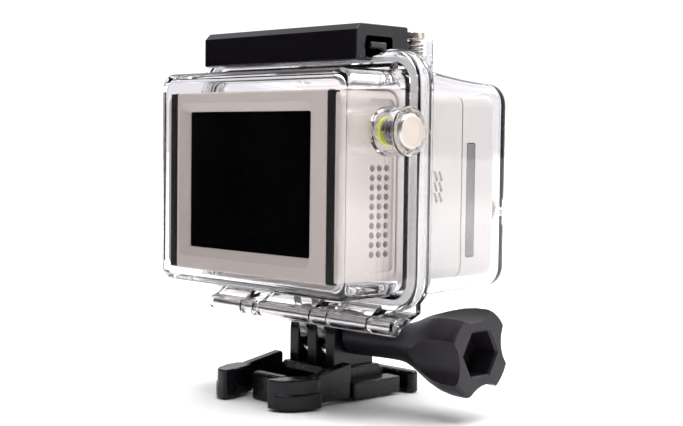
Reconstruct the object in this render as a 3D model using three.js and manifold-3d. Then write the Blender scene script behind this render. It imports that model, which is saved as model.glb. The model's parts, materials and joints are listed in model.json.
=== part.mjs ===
// Action camera with a screen module, in a clear dive housing on a quick-release buckle.
// Millimetres. +Z up, the lens looks along -Y, the screen faces +Y, the user's right hand is at -X.
// The origin lies on the resting plane under the buckle, 6.4 mm behind the thumb-screw axis.

import * as THREE from 'three'
import { mergeVertices } from 'three/addons/utils/BufferGeometryUtils.js'
import Module from 'manifold-3d'

const wasm = await Module()
wasm.setup()

// ---------------------------------------------------------------- driving dimensions

const CAMERA = { side: 30, bottom: 28.7, top: 72.4, front: -30, seam: -17.7, rear: 3.7, corner: 3.5, wall: 1.8 }
const SCREEN = { side: 30, bottom: 29.7, top: 71.7, front: 4, rear: 20, corner: 3, wall: 2.2 }
const WINDOW = { left: 23.3, right: -19, bottom: 34.9, top: 67.2, bevel: 1.8 }
const STRIP = { inner: 26.2, outer: 28.6, depth: 0.8 }

const FLANGE = { side: 38, bottom: 23.2, top: 80.7, corner: 8 }
const SHELL_REAR = { side: 34, bottom: 25.4, top: 78.3 }
const SHELL_FRONT = { side: 32.5, bottom: 26.4, top: 74.7 }
const SHELL = { flange: [-0.3, 1.7], front: -33, corner: 5, edge: 2.6, wall: 1.8, frontWall: 1.8 }
const DOOR = { side: 32.5, bottom: 26.5, top: 76.4, flange: [2, 5], rear: 21.7, rearWall: 1.4, corner: 3.5, edge: 2.4 }
const DOOR_CAVITY = { side: 30.6, bottom: 28.3, top: 74.6, corner: 2.5 }
const SEAL = { inset: 2, width: 1.6, depth: 1 }

const PIVOT = [-6.4, 14.8]
const PRONG = { radius: 6.6, thickness: 3, pitch: 6.3, hole: 2.65 }
const FINGER = { radius: 6.4, thickness: 2.7 }
const SCREW = { radius: 2.4, head: -40, tail: 9.8 }
const NUT = { flats: 8, thickness: 2.6, seat: 6.9 }
const KNOB = { inner: -8.4, outer: -47, lobes: 4, lobe: 1.5, lobeAngle: 36, socketFlats: 9.5, socketDepth: 6.5 }

const TOWER = { side: 9.4, y: [-15, 2.2], top: 7.2 }
const RAIL = { outer: 14, y: [-16.3, -0.6], z: [0.4, 4.4] }
const FRONT_BAR = { side: 15.2, y: [-22, -18.6], top: 5.2, corner: 1.6 }
const SPINE = { side: 5, front: -19, rear: 14.5, top: 3.6, lip: 6.4 }
const ARM = { root: -0.3, bottom: 0.3, step: 3.7, inset: 1 }

const HINGE = [8, 20.4]
const BARREL = 2
const PIN = { radius: 0.95, ends: [-34.6, 26.4] }
const SHELL_KNUCKLES = [[10.9, 14.9], [-14.9, -9.5], [-35, -28]]
const DOOR_KNUCKLES = [[15.2, 27], [-9.2, 9.2], [-27.7, -15.2]]

const LEVER_AXIS = [-6.5, 84.9]
const ARM_AXIS = [-6.5, 80.1]
const LATCH = { side: 26.3, rear: 12.5, front: -3.9, top: 86.4, bottom: 78.3, ledge: [3.9, 9.2] }
const LEVER = { side: 10, cheek: 8, round: 1.5, reach: 5.8, thickness: 1.4 }
const LUG = [10.4, 13]
const TONGUE = 7.7
const LATCH_PIN = 0.75

const PORT = { centre: [13, 52], half: 15, corner: 4, boss: -39.5, bore: 11.2, glass: 12.6, view: 11.6 }
const PORT_SCREW = { offset: 12, shank: 0.8, head: 1.5 }

const RUNNING = 0.1
const GAP = 0.3
const OVERRUN = 0.6

// A button stands out of its wall. All heights run outwards along the button's own axis.
const SHUTTER = { at: [-22.4, -10], end: 73.9, floor: 78.4, mouth: 80.9, cap: [84, 86], capRadius: 2.5,
  boss: 3.6, bore: 2.7, spring: 2, key: [69.5, 72.9], keyRadius: 2.5 }
const MODE = { at: [-20, 44], end: 31.4, floor: 34.2, mouth: 36.6, cap: [38, 39.6], capRadius: 4,
  boss: 4.8, bore: 3.4, spring: 2.6, key: [27, 30.3], keyRadius: 2.4 }
const SIDE = { at: [9, 62.9], end: 31.2, floor: 32.9, mouth: 39.4, cap: [38.4, 40], capRadius: 3.8,
  boss: 5.4, bore: 4.15, spring: 2.7, key: [26.5, 30.3], keyRadius: 1.8 }
const STEM = 1.1
const WIRE = 0.3
const GUARD = { at: [-27.4, -10], radius: 0.7, top: 84 }

const SLOT = { y: [-22.4, -19.3], z: [34.05, 60.7], depth: 0.9 }
const STATUS = { x: [-26, -12], z: [52, 66], depth: 0.7 }
const LENS = { barrel: 9.4, glass: 6.9, rear: 18.5, front: 35.6 }
const PLUG = { x: [4, 20], y: [0, 10], z: [33, 38] }
const VENTS = { y: -9.5, heights: [48.2, 50.6, 53], apart: 1.6, slant: -Math.PI / 7 }
const PANEL = { y: [5, 13.1], z: [32.3, 69.9], depth: 0.5 }
const GRILLE = { rows: 10, columns: 3, first: [6.75, 36.2], pitch: [2.2, 2.08], hole: 0.65 }

// ---------------------------------------------------------------- solids

const EX = new THREE.Vector3(1, 0, 0)
const EY = new THREE.Vector3(0, 1, 0)
const EZ = new THREE.Vector3(0, 0, 1)
const DRAWN_YZ = new THREE.Matrix4().makeBasis(EY, EZ, EX)
const DRAWN_XZ = new THREE.Matrix4().makeBasis(EX, EZ, EY.clone().negate())

function solid(geometry) {
  const bare = geometry.clone()
  bare.deleteAttribute('normal')
  bare.deleteAttribute('uv')
  const merged = mergeVertices(bare, 1e-4)
  const vertProperties = new Float32Array(merged.attributes.position.array)
  const triVerts = new Uint32Array(merged.index.array)
  return new wasm.Manifold(new wasm.Mesh({ numProp: 3, vertProperties, triVerts }))
}

const join = (first, ...others) => others.reduce((sum, other) => sum.add(other), first)
const cut = (first, ...others) => others.reduce((rest, other) => rest.subtract(other), first)

function block([x0, x1], [y0, y1], [z0, z1]) {
  const geometry = new THREE.BoxGeometry(x1 - x0, y1 - y0, z1 - z0)
  return solid(geometry.translate((x0 + x1) / 2, (y0 + y1) / 2, (z0 + z1) / 2))
}

function polygon(...points) {
  return new THREE.Shape(points.map(([u, v]) => new THREE.Vector2(u, v)))
}

function roundedRect([u0, u1], [v0, v1], r) {
  const shape = new THREE.Shape()
  shape.absarc(u1 - r, v0 + r, r, -Math.PI / 2, 0)
  shape.absarc(u1 - r, v1 - r, r, 0, Math.PI / 2)
  shape.absarc(u0 + r, v1 - r, r, Math.PI / 2, Math.PI)
  shape.absarc(u0 + r, v0 + r, r, Math.PI, 1.5 * Math.PI)
  return shape
}

// A shape drawn in (y, z), (x, z) or (x, y) and drawn out along the axis that is left.
function prism(axis, shape, [from, to], curveSegments = 2) {
  const geometry = new THREE.ExtrudeGeometry(shape, { depth: to - from, bevelEnabled: false, curveSegments })
  if (axis === 'x') geometry.applyMatrix4(DRAWN_YZ).translate(from, 0, 0)
  if (axis === 'y') geometry.applyMatrix4(DRAWN_XZ).translate(0, to, 0)
  if (axis === 'z') geometry.translate(0, 0, from)
  return solid(geometry)
}

function rod(axis, [u, v], radius, [from, to], sides = 20, start = 0) {
  const geometry = new THREE.CylinderGeometry(radius, radius, to - from, sides, 1, false, start)
  const middle = (from + to) / 2
  if (axis === 'x') geometry.rotateZ(Math.PI / 2).translate(middle, u, v)
  if (axis === 'y') geometry.translate(u, middle, v)
  if (axis === 'z') geometry.rotateX(Math.PI / 2).translate(u, v, middle)
  return solid(geometry)
}

// A hexagon with two of its flats level.
function hexRod(axis, centre, flats, span) {
  return rod(axis, centre, flats / Math.sqrt(3), span, 6, Math.PI / 6)
}

// A box along Y, cut square at its open end, that narrows towards its rounded closed end.
// Its sides run straight, and its top and bottom curve in early.
function taperedCase(open, closed, [yOpen, yClosed], corner, edge) {
  const length = Math.abs(yClosed - yOpen)
  const towards = Math.sign(yOpen - yClosed)
  const shape = roundedRect([-open.side, open.side], [open.bottom, open.top], corner)
  const geometry = new THREE.ExtrudeGeometry(shape, {
    depth: length - edge + OVERRUN,
    steps: closed === open ? 1 : 3,
    curveSegments: 2,
    bevelThickness: edge,
    bevelSize: edge,
    bevelOffset: -edge,
    bevelSegments: edge > 1.5 ? 3 : 1,
  }).translate(0, 0, -OVERRUN)
  const position = geometry.attributes.position
  for (let i = 0; i < position.count; i += 1) {
    const [x, z, depth] = [position.getX(i), position.getY(i), position.getZ(i)]
    const along = THREE.MathUtils.clamp(depth / length, 0, 1)
    const eased = 1 - (1 - along) ** 1.8
    const bottom = THREE.MathUtils.lerp(open.bottom, closed.bottom, eased)
    const top = THREE.MathUtils.lerp(open.top, closed.top, eased)
    const height = (z - open.bottom) / (open.top - open.bottom)
    const narrowed = x * THREE.MathUtils.lerp(1, closed.side / open.side, along)
    position.setXYZ(i, narrowed, THREE.MathUtils.lerp(bottom, top, height), depth)
  }
  if (towards < 0) geometry.rotateY(Math.PI)
  geometry.applyMatrix4(DRAWN_XZ).translate(0, yOpen, 0)
  const beyond = [yOpen, yOpen + towards * 20].sort((a, b) => a - b)
  return cut(solid(geometry), block([-60, 60], beyond, [-10, 110]))
}

// A body turned about local Z, from (radius, height) points.
function turned(points, sides = 18) {
  const outline = points.map(([r, h]) => new THREE.Vector2(r, h))
  return solid(new THREE.LatheGeometry(outline, sides).rotateX(Math.PI / 2))
}

// A ring of round section about local Z.
function roundRing(radius, section, height, sides = 14) {
  const geometry = new THREE.TorusGeometry(radius, section, 5, sides)
  return solid(geometry.translate(0, 0, height))
}

class Helix extends THREE.Curve {
  constructor(radius, from, to, turns) {
    super()
    Object.assign(this, { radius, from, to, turns })
  }

  getPoint(t, target = new THREE.Vector3()) {
    const angle = 2 * Math.PI * this.turns * t
    const z = THREE.MathUtils.lerp(this.from, this.to, t)
    return target.set(this.radius * Math.cos(angle), this.radius * Math.sin(angle), z)
  }
}

function spring(radius, from, to, turns) {
  const section = new THREE.Shape()
  section.absarc(0, 0, WIRE, 0, 2 * Math.PI)
  const extrudePath = new Helix(radius, from, to, turns)
  const options = { steps: Math.round(turns * 8), curveSegments: 3, extrudePath }
  return solid(new THREE.ExtrudeGeometry(section, options))
}

// ---------------------------------------------------------------- materials

function material(color, roughness, metalness = 0) {
  return new THREE.MeshStandardMaterial({ color, roughness, metalness })
}

function clear() {
  const clearPlastic = material(0xdedfe6, 0.08)
  clearPlastic.transparent = true
  clearPlastic.opacity = 0.3
  return clearPlastic
}

const beige = () => material(0xb9b2a8, 0.5)
const gloss = () => material(0x141416, 0.18)
const charcoal = () => material(0x29282c, 0.6)
const rubber = () => material(0x0e0e10, 0.85)
const steel = () => material(0xa9a39b, 0.3, 1)
const black = () => material(0x030304, 0.1)
const greenSeal = () => material(0xb9c23a, 0.5)
const whiteSeal = () => material(0xe6e4e2, 0.6)
const board = () => material(0x1d5a38, 0.5)

// ---------------------------------------------------------------- scene graph

function piece(name, body, finish) {
  const mesh = body.getMesh()
  const geometry = new THREE.BufferGeometry()
  geometry.setAttribute('position', new THREE.BufferAttribute(mesh.vertProperties, 3))
  geometry.setIndex(new THREE.BufferAttribute(mesh.triVerts, 1))
  geometry.computeVertexNormals()
  const result = new THREE.Mesh(geometry, finish)
  result.name = name
  return result
}

function group(...children) {
  const result = new THREE.Group()
  result.add(...children)
  return result
}

// ---------------------------------------------------------------- buckle

function eyeProfile(radius, foot, halfWidth) {
  const shape = new THREE.Shape()
  shape.moveTo(PIVOT[0] - halfWidth, foot)
  shape.lineTo(PIVOT[0] + halfWidth, foot)
  shape.absarc(PIVOT[0], PIVOT[1], radius, 0, Math.PI)
  return shape
}

function buckleBase() {
  const [rear, towerTop] = [TOWER.y[1], TOWER.top]
  const front = TOWER.y[0]
  const tower = prism('x', polygon([front, 0], [rear, 0], [rear, towerTop - 1.6], [rear - 1.6, towerTop],
    [front + 1.6, towerTop], [front, towerTop - 1.6]), [-TOWER.side, TOWER.side])
  const spine = prism('x', polygon([SPINE.front, 0], [SPINE.rear, 0], [SPINE.rear, SPINE.lip - 0.6],
    [SPINE.rear - 0.6, SPINE.lip], [SPINE.rear - 2.6, SPINE.lip], [SPINE.rear - 4, SPINE.top],
    [SPINE.front, SPINE.top]), [-SPINE.side, SPINE.side])
  const { side, y, top, corner } = FRONT_BAR
  const frontBar = prism('z', roundedRect([-side, side], y, corner), [0, top])
  const railSpans = [[TOWER.side - 0.2, RAIL.outer], [-RAIL.outer, 0.2 - TOWER.side]]
  const rails = railSpans.map((span) => block(span, RAIL.y, RAIL.z))
  const bridge = block([-9.8, 9.8], [y[1] - 0.4, front + 0.2], [0.6, 3.2])
  const prongs = [-1, 0, 1].map((i) => {
    const x = i * PRONG.pitch
    const span = [x - PRONG.thickness / 2, x + PRONG.thickness / 2]
    return prism('x', eyeProfile(PRONG.radius, TOWER.top - 1, PRONG.radius), span, 8)
  })
  const pocket = hexRod('x', PIVOT, NUT.flats + 0.3, [NUT.seat - 0.1, 11])
  return cut(join(tower, spine, frontBar, ...rails, bridge, ...prongs),
    rod('x', PIVOT, PRONG.hole, [-9, 11]), pocket)
}

// A squeeze arm: a spring beam that widens into a finger pad, with the pad's upper half set in.
function buckleArm(side) {
  const plan = (inset) => {
    const outline = [[10.6, ARM.root], [13.2, ARM.root], [13.2, 10.6], [15.6 - inset, 11.2],
      [15.2 - inset, 14.6], [13.4 - inset, 18.6], [10.6, 20.7], [7.2, 20.9], [7.6, 17], [10.6, 9.6]]
    const points = outline.map(([x, y]) => [side * x, y])
    return polygon(...(side < 0 ? points.reverse() : points))
  }
  const lower = prism('z', plan(0), [ARM.bottom, ARM.step])
  const upper = prism('z', plan(ARM.inset), [ARM.step - 0.2, 9.4])
  const aboveTop = prism('x', polygon([-1, 9.3], [9, 7.6], [11, 7], [22, 7], [22, 12], [-1, 12]), [-20, 20])
  const belowBeam = block([-20, 20], [-1, 9], [-1, 0.8])
  return cut(join(lower, upper), aboveTop, belowBeam)
}

function captiveNut() {
  const hex = hexRod('x', PIVOT, NUT.flats, [NUT.seat, NUT.seat + NUT.thickness])
  return cut(hex, rod('x', PIVOT, SCREW.radius + RUNNING, [6, 12]))
}

// ---------------------------------------------------------------- thumb screw

function thumbScrew() {
  return rod('x', PIVOT, SCREW.radius, [SCREW.head, SCREW.tail])
}

// The knob is turned, then its outer part is pushed in and out into lobes.
function thumbKnob() {
  const profile = [[0, 0], [4.9, 0], [4.6, 6], [4.4, 16], [5, 20], [6.4, 24.5], [7.9, 30], [8.6, 34], [8.6, 36.2],
    [8.3, 37.8], [7.6, 38.6], [0, 38.6]]
  const outline = profile.map(([r, h]) => new THREE.Vector2(r, h))
  const geometry = new THREE.LatheGeometry(outline, 36)
  const position = geometry.attributes.position
  const phase = THREE.MathUtils.degToRad(KNOB.lobeAngle)
  for (let i = 0; i < position.count; i += 1) {
    const [x, h, z] = [position.getX(i), position.getY(i), position.getZ(i)]
    const radius = Math.hypot(x, z)
    const depth = KNOB.lobe * THREE.MathUtils.smoothstep(h, 16, 31)
    const wave = Math.cos(KNOB.lobes * (Math.atan2(x, z) + phase))
    const scale = radius > 0 ? 1 + (depth * wave) / radius : 1
    position.setXYZ(i, x * scale, h, z * scale)
  }
  geometry.rotateZ(Math.PI / 2).translate(KNOB.inner, PIVOT[0], PIVOT[1])
  const socket = hexRod('x', PIVOT, KNOB.socketFlats, [KNOB.outer - 1, KNOB.outer + KNOB.socketDepth])
  const bore = rod('x', PIVOT, SCREW.radius + 0.15, [KNOB.outer, KNOB.inner + 1])
  return cut(solid(geometry), socket, bore)
}

// ---------------------------------------------------------------- clear front shell

// The stem's hole through the wall, and the wider well that holds the spring and the ring seal.
function plungerBores(button, axis, throughWall, well) {
  return [
    rod(axis, button.at, STEM + RUNNING, throughWall),
    rod(axis, button.at, button.bore, well),
  ]
}

function frontShell() {
  const [flangeFront, flangeRear] = SHELL.flange
  const outerEnds = [flangeFront + OVERRUN, SHELL.front]
  const outer = taperedCase(SHELL_REAR, SHELL_FRONT, outerEnds, SHELL.corner, SHELL.edge)
  const inside = (box) => ({
    side: box.side - SHELL.wall,
    bottom: box.bottom + SHELL.wall,
    top: box.top - SHELL.wall,
  })
  const cavityEnds = [flangeRear + OVERRUN, SHELL.front + SHELL.frontWall]
  const cavity = taperedCase(inside(SHELL_REAR), inside(SHELL_FRONT), cavityEnds, 3.2, 1.4)
  const flangeShape = roundedRect([-FLANGE.side, FLANGE.side], [FLANGE.bottom, FLANGE.top], FLANGE.corner)
  const flange = prism('y', flangeShape, [flangeFront, flangeRear], 3)
  const shutterBoss = rod('z', SHUTTER.at, SHUTTER.boss, [75.2, SHUTTER.mouth])
  const shutterBores = plungerBores(SHUTTER, 'z', [70, 90], [SHUTTER.floor, 90])
  const modeBoss = rod('y', MODE.at, MODE.boss, [-MODE.mouth, -32])
  const modeBores = plungerBores(MODE, 'y', [-50, -25], [-50, -MODE.floor])
  const guard = rod('z', GUARD.at, GUARD.radius, [75.2, GUARD.top], 8)
  const [px, pz] = PORT.centre
  const portShape = roundedRect([px - PORT.half, px + PORT.half], [pz - PORT.half, pz + PORT.half], PORT.corner)
  const port = prism('y', portShape, [PORT.boss, -32])
  const portBore = rod('y', PORT.centre, PORT.bore, [-50, -30], 24)
  const screwHoles = portCorners().map((at) => rod('y', at, PORT_SCREW.shank + RUNNING + 0.1, [-50, -34.5], 8))
  const fingers = [-1, 1].map((side) => {
    const x = side * PRONG.pitch / 2
    return fingerBody([x - FINGER.thickness / 2, x + FINGER.thickness / 2])
  })
  const knuckles = SHELL_KNUCKLES.map(shellKnuckle)
  const lugs = [LUG, [-LUG[1], -LUG[0]]].map(latchLug)
  const hollow = cut(join(outer, flange, port, shutterBoss, modeBoss), cavity)
  const body = join(hollow, guard, ...fingers, ...knuckles, ...lugs)
  return cut(body, ...shutterBores, ...modeBores, portBore, ...screwHoles,
    rod('x', HINGE, PIN.radius + RUNNING, [-40, 40], 16),
    rod('x', LEVER_AXIS, LATCH_PIN + RUNNING, [-20, 20], 12))
}

function portCorners() {
  const [x, z] = PORT.centre
  const d = PORT_SCREW.offset
  return [[x - d, z - d], [x + d, z - d], [x - d, z + d], [x + d, z + d]]
}

function fingerBody(span) {
  const eye = rod('x', PIVOT, FINGER.radius, span, 24)
  const [y, z] = PIVOT
  const root = polygon([y - FINGER.radius, z], [y + FINGER.radius, z], [1.7, 22.9], [1.7, 26], [-20, 27.2],
    [-15, 22.5])
  return cut(join(eye, prism('x', root, span)), rod('x', PIVOT, PRONG.hole, [-20, 20]))
}

function shellKnuckle(span) {
  const [y, z] = HINGE
  const arm = polygon([-0.3, 26], [-0.3, 22.8], [y - 1, z - 1], [y, z], [y, z + 2], [1.7, 22.9], [1.7, 26])
  return join(prism('x', arm, span), rod('x', HINGE, BARREL, span, 16))
}

function latchLug(span) {
  const [y, z] = LEVER_AXIS
  const root = polygon([y - 3, 75.4], [y + 3, 75.4], [y + LEVER.round, z], [y - LEVER.round, z])
  return join(prism('x', root, span), rod('x', LEVER_AXIS, LEVER.round, span, 12))
}

// ---------------------------------------------------------------- lens port

function portFrame() {
  const [x, z] = PORT.centre
  const shape = roundedRect([x - PORT.half, x + PORT.half], [z - PORT.half, z + PORT.half], PORT.corner)
  const plate = prism('y', shape, [PORT.boss - 2.6, PORT.boss - 0.1])
  const view = rod('y', PORT.centre, PORT.view, [-60, 0], 24)
  const seat = rod('y', PORT.centre, PORT.glass + 0.3, [PORT.boss - 1.7, 0], 24)
  const holes = portCorners().flatMap((at) => [
    rod('y', at, PORT_SCREW.shank + RUNNING + 0.1, [-60, 0], 8),
    rod('y', at, PORT_SCREW.head + 0.25, [-60, PORT.boss - 1.7], 12),
  ])
  return cut(plate, view, seat, ...holes)
}

function portGlass() {
  return rod('y', PORT.centre, PORT.glass, [PORT.boss - 1.5, PORT.boss - 0.15], 24)
}

// Local Z runs along the screw, with the head's top at the origin.
function portScrew() {
  const body = turned([[0, -7], [PORT_SCREW.shank, -7], [PORT_SCREW.shank, -0.8], [PORT_SCREW.head, -0.8],
    [PORT_SCREW.head, 0], [0, 0]], 10)
  return cut(body, hexRod('z', [0, 0], 1.4, [-0.5, 1]))
}

// ---------------------------------------------------------------- clear rear door

function rearDoor() {
  const [flangeFront, flangeRear] = DOOR.flange
  const outer = taperedCase(DOOR, DOOR, [flangeRear - OVERRUN, DOOR.rear], DOOR.corner, DOOR.edge)
  const cavityEnds = [flangeFront - OVERRUN, DOOR.rear - DOOR.rearWall]
  const cavity = taperedCase(DOOR_CAVITY, DOOR_CAVITY, cavityEnds, DOOR_CAVITY.corner, 0.8)
  const flangeShape = roundedRect([-FLANGE.side, FLANGE.side], [FLANGE.bottom, FLANGE.top], FLANGE.corner)
  const flange = prism('y', flangeShape, [flangeFront, flangeRear], 3)
  const [ledgeFront, ledgeRear] = LATCH.ledge
  const ledge = prism('x', polygon([ledgeFront, 80], [4.9, 80], [5.2, 80.8], [ledgeRear, 80.8], [ledgeRear, 82.4],
    [ledgeFront, 82.4]), [-27.4, 27.4])
  const swingRoom = prism('x', polygon([flangeFront - 1, 27.1], [flangeFront, 27.1], [3.9, 28.4], [3.9, 30],
    [flangeFront - 1, 30]), [0.1 - DOOR_CAVITY.side, DOOR_CAVITY.side - 0.1])
  const knuckles = DOOR_KNUCKLES.map(doorKnuckle)
  const barrel = rod('x', SIDE.at, SIDE.boss, [-SIDE.mouth, -31], 24)
  const body = join(cut(join(outer, flange, barrel), cavity), ledge, ...knuckles)
  return cut(body, sealGroove(), swingRoom,
    rod('x', SIDE.at, STEM + RUNNING, [-60, -20], 16),
    rod('x', SIDE.at, SIDE.bore, [-60, -SIDE.floor], 24),
    rod('x', SIDE.at, 2.4, [-31.5, -29], 16),
    rod('x', HINGE, PIN.radius + RUNNING, [-40, 40], 16))
}

function doorKnuckle(span) {
  const [y, z] = HINGE
  const arm = polygon([2.1, 26], [2.1, 23.4], [y - 1.5, z + 0.2], [y, z], [y + 1.8, z + 0.8], [5, 24.6], [5, 26])
  return join(prism('x', arm, span), rod('x', HINGE, BARREL, span, 16))
}

function sealOutline(inset, corner) {
  return roundedRect([-FLANGE.side + inset, FLANGE.side - inset], [FLANGE.bottom + inset * 0.65,
    FLANGE.top - inset * 0.65], corner)
}

function sealRing(inset, width, span) {
  const shape = sealOutline(inset, 6.5)
  shape.holes.push(sealOutline(inset + width, 5.2))
  return prism('y', shape, span, 3)
}

function sealGroove() {
  const [front] = DOOR.flange
  return sealRing(SEAL.inset - 0.1, SEAL.width + 0.2, [front - 1, front + SEAL.depth + 0.1])
}

function doorSeal() {
  const [front] = DOOR.flange
  return sealRing(SEAL.inset, SEAL.width, [front - 0.2, front + SEAL.depth])
}

function hingePin() {
  return rod('x', HINGE, PIN.radius, PIN.ends, 16)
}

// ---------------------------------------------------------------- latch

function latchArm() {
  const { rear, front, top, bottom, side } = LATCH
  const section = polygon([rear, bottom], [rear, 84.9], [rear - 1.5, top], [front + 0.6, top], [front, top - 0.6],
    [front, 81.2], [1.4, 81.2], [1.4, 83.5], [9.4, 83.5], [9.4, 79.4], [7.4, 79.4], [7.4, bottom])
  const bar = prism('x', section, [-side, side])
  const [y, z] = ARM_AXIS
  const neck = polygon([y - 0.7, z + 1.3], [y + 1.1, z - 1], [front + 0.4, 81.2], [front + 0.4, 83.2])
  const tongue = join(prism('x', neck, [-TONGUE, TONGUE]), rod('x', ARM_AXIS, LEVER.round, [-TONGUE, TONGUE], 12))
  const pocket = block([-LEVER.side - GAP, LEVER.side + GAP], [-9, LEVER.reach + GAP],
    [top - LEVER.thickness - GAP, top + 1])
  return cut(join(bar, tongue), pocket, rod('x', ARM_AXIS, LATCH_PIN + RUNNING, [-20, 20], 12))
}

function latchLever() {
  const [y, z] = LEVER_AXIS
  const span = [-LEVER.side, LEVER.side]
  const plate = polygon([y, LATCH.top - LEVER.thickness], [LEVER.reach, LATCH.top - LEVER.thickness],
    [LEVER.reach, LATCH.top - 0.5], [LEVER.reach - 0.5, LATCH.top], [y, LATCH.top])
  const barrel = rod('x', LEVER_AXIS, LEVER.round, span, 12)
  const cheeks = [[LEVER.cheek, LEVER.side], [-LEVER.side, -LEVER.cheek]].map((cheek) => {
    const bar = block(cheek, [y - LEVER.round, y + LEVER.round], [ARM_AXIS[1], z])
    return join(bar, rod('x', ARM_AXIS, LEVER.round, cheek, 12))
  })
  return cut(join(prism('x', plate, span), barrel, ...cheeks),
    rod('x', LEVER_AXIS, LATCH_PIN + RUNNING, [-20, 20], 12),
    rod('x', ARM_AXIS, LATCH_PIN + RUNNING, [-20, 20], 12))
}

function latchPin(axis, half) {
  return rod('x', axis, LATCH_PIN, [-half, half], 12)
}

// ---------------------------------------------------------------- buttons

function plunger(button) {
  const [low, high] = button.cap
  const r = button.capRadius
  return turned([[0, button.end], [STEM, button.end], [STEM, low], [r - 0.2, low], [r, low + 0.2], [r, high - 0.4],
    [r - 0.4, high], [r - 0.8, high], [r - 1.1, high - 0.25], [0, high - 0.25]])
}

function buttonSet(name, button, capFinish, sealFinish) {
  const seal = roundRing(STEM + RUNNING + 0.5, 0.45, button.floor + 0.5)
  const coil = spring(button.spring, button.floor + 1.35, button.cap[0] - 0.4, 4)
  return group(
    piece(`${name}_plunger`, plunger(button), capFinish),
    piece(`${name}_spring`, coil, steel()),
    piece(`${name}_seal`, seal, sealFinish),
  )
}

function keyBody(button) {
  return rod('z', [0, 0], button.keyRadius, button.key)
}

// ---------------------------------------------------------------- camera

const wider = ([from, to], by) => [from - by, to + by]

function cameraBox(span, wall) {
  const side = CAMERA.side - wall
  const corner = Math.max(CAMERA.corner - wall, 1)
  return prism('y', roundedRect([-side, side], [CAMERA.bottom + wall, CAMERA.top - wall], corner), span)
}

function cameraFrontCover() {
  const box = { side: CAMERA.side, bottom: CAMERA.bottom, top: CAMERA.top }
  const rear = CAMERA.seam - 0.15
  const outer = taperedCase(box, box, [rear, CAMERA.front], CAMERA.corner, 1.8)
  const cavity = cameraBox([CAMERA.front + CAMERA.wall, 0], CAMERA.wall)
  const slot = prism('x', roundedRect(SLOT.y, SLOT.z, 0.6), [-CAMERA.side - 1, -CAMERA.side + SLOT.depth])
  const display = block(wider(STATUS.x, 0.2), [-31, CAMERA.front + STATUS.depth + 0.2], wider(STATUS.z, 0.2))
  return cut(outer, cavity, slot, display,
    rod('y', PORT.centre, LENS.barrel + GAP, [-40, -20], 28),
    rod('y', MODE.at, MODE.keyRadius + 0.2, [-40, -20]))
}

// Two slanted slits side by side.
function ventPair(z) {
  const shape = roundedRect([-0.45, 0.45], [-1.3, 1.3], 0.4)
  return [-1, 1].map((side) => {
    const geometry = new THREE.ExtrudeGeometry(shape, { depth: 2, bevelEnabled: false, curveSegments: 1 })
    geometry.rotateZ(VENTS.slant).applyMatrix4(DRAWN_YZ)
    return solid(geometry.translate(-CAMERA.side - 1.5, VENTS.y + (side * VENTS.apart) / 2, z))
  })
}

function cameraRearCover() {
  const front = CAMERA.seam + 0.15
  const outer = cameraBox([front, CAMERA.rear], 0)
  const cavity = cameraBox([front - 1, CAMERA.rear - CAMERA.wall], CAMERA.wall)
  const vents = VENTS.heights.flatMap(ventPair)
  return cut(outer, cavity, ...vents,
    rod('z', SHUTTER.at, SHUTTER.keyRadius + 0.2, [60, 90]),
    block(PLUG.x, PLUG.y, PLUG.z))
}

function slotCover() {
  const face = -CAMERA.side + 0.05
  return block([face, face + SLOT.depth - 0.2], wider(SLOT.y, -0.2), wider(SLOT.z, -0.25))
}

function statusDisplay() {
  return block(STATUS.x, [CAMERA.front, CAMERA.front + STATUS.depth], STATUS.z)
}

function lensBarrel() {
  const { barrel, glass, rear, front } = LENS
  return turned([[0, rear], [barrel, rear], [barrel, front - 0.6], [barrel - 0.4, front], [barrel - 1.4, front],
    [glass + GAP, 33], [glass + GAP, 30.5], [0, 30.5]], 28)
}

function lensGlass() {
  return turned([[0, 30.8], [LENS.glass, 30.8], [LENS.glass, 32.2], [5.4, 33.2], [3, 33.9], [0, 34.1]], 24)
}

// ---------------------------------------------------------------- screen module

function moduleCase() {
  const { side, bottom, top, front, rear, corner, wall } = SCREEN
  const shell = prism('y', roundedRect([-side, side], [bottom, top], corner), [front, rear - 2.1])
  const inner = roundedRect([-side + wall, side - wall], [bottom + wall, top - wall], 1)
  const cavity = prism('y', inner, [front + 1.6, rear])
  const panel = prism('x', roundedRect(PANEL.y, PANEL.z, 1.4), [-side - 1, -side + PANEL.depth])
  const holes = []
  for (let row = 0; row < GRILLE.rows; row += 1) {
    for (let column = 0; column < GRILLE.columns; column += 1) {
      const at = [GRILLE.first[0] + column * GRILLE.pitch[0], GRILLE.first[1] + row * GRILLE.pitch[1]]
      holes.push(rod('x', at, GRILLE.hole, [-side - 1, -side + 1.3], 6))
    }
  }
  return cut(shell, cavity, panel, ...holes,
    rod('x', SIDE.at, SIDE.keyRadius + 0.2, [-40, -20]),
    block(PLUG.x, PLUG.y, PLUG.z))
}

// The bezel's window widens towards the eye, as a four-sided funnel.
function bevelledWindow() {
  const { left, right, bottom, top, bevel } = WINDOW
  const half = [(left - right) / 2, (top - bottom) / 2]
  const depth = 3
  const funnel = new THREE.BoxGeometry(2 * half[0], depth, 2 * half[1], 1, 1, 1)
  const position = funnel.attributes.position
  const grow = (bevel * depth) / 2
  for (let i = 0; i < position.count; i += 1) {
    if (position.getY(i) > 0) {
      position.setX(i, position.getX(i) + Math.sign(position.getX(i)) * grow)
      position.setZ(i, position.getZ(i) + Math.sign(position.getZ(i)) * grow)
    }
  }
  const y = SCREEN.rear - 2 + depth / 2
  return solid(funnel.translate((left + right) / 2, y, (top + bottom) / 2))
}

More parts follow.
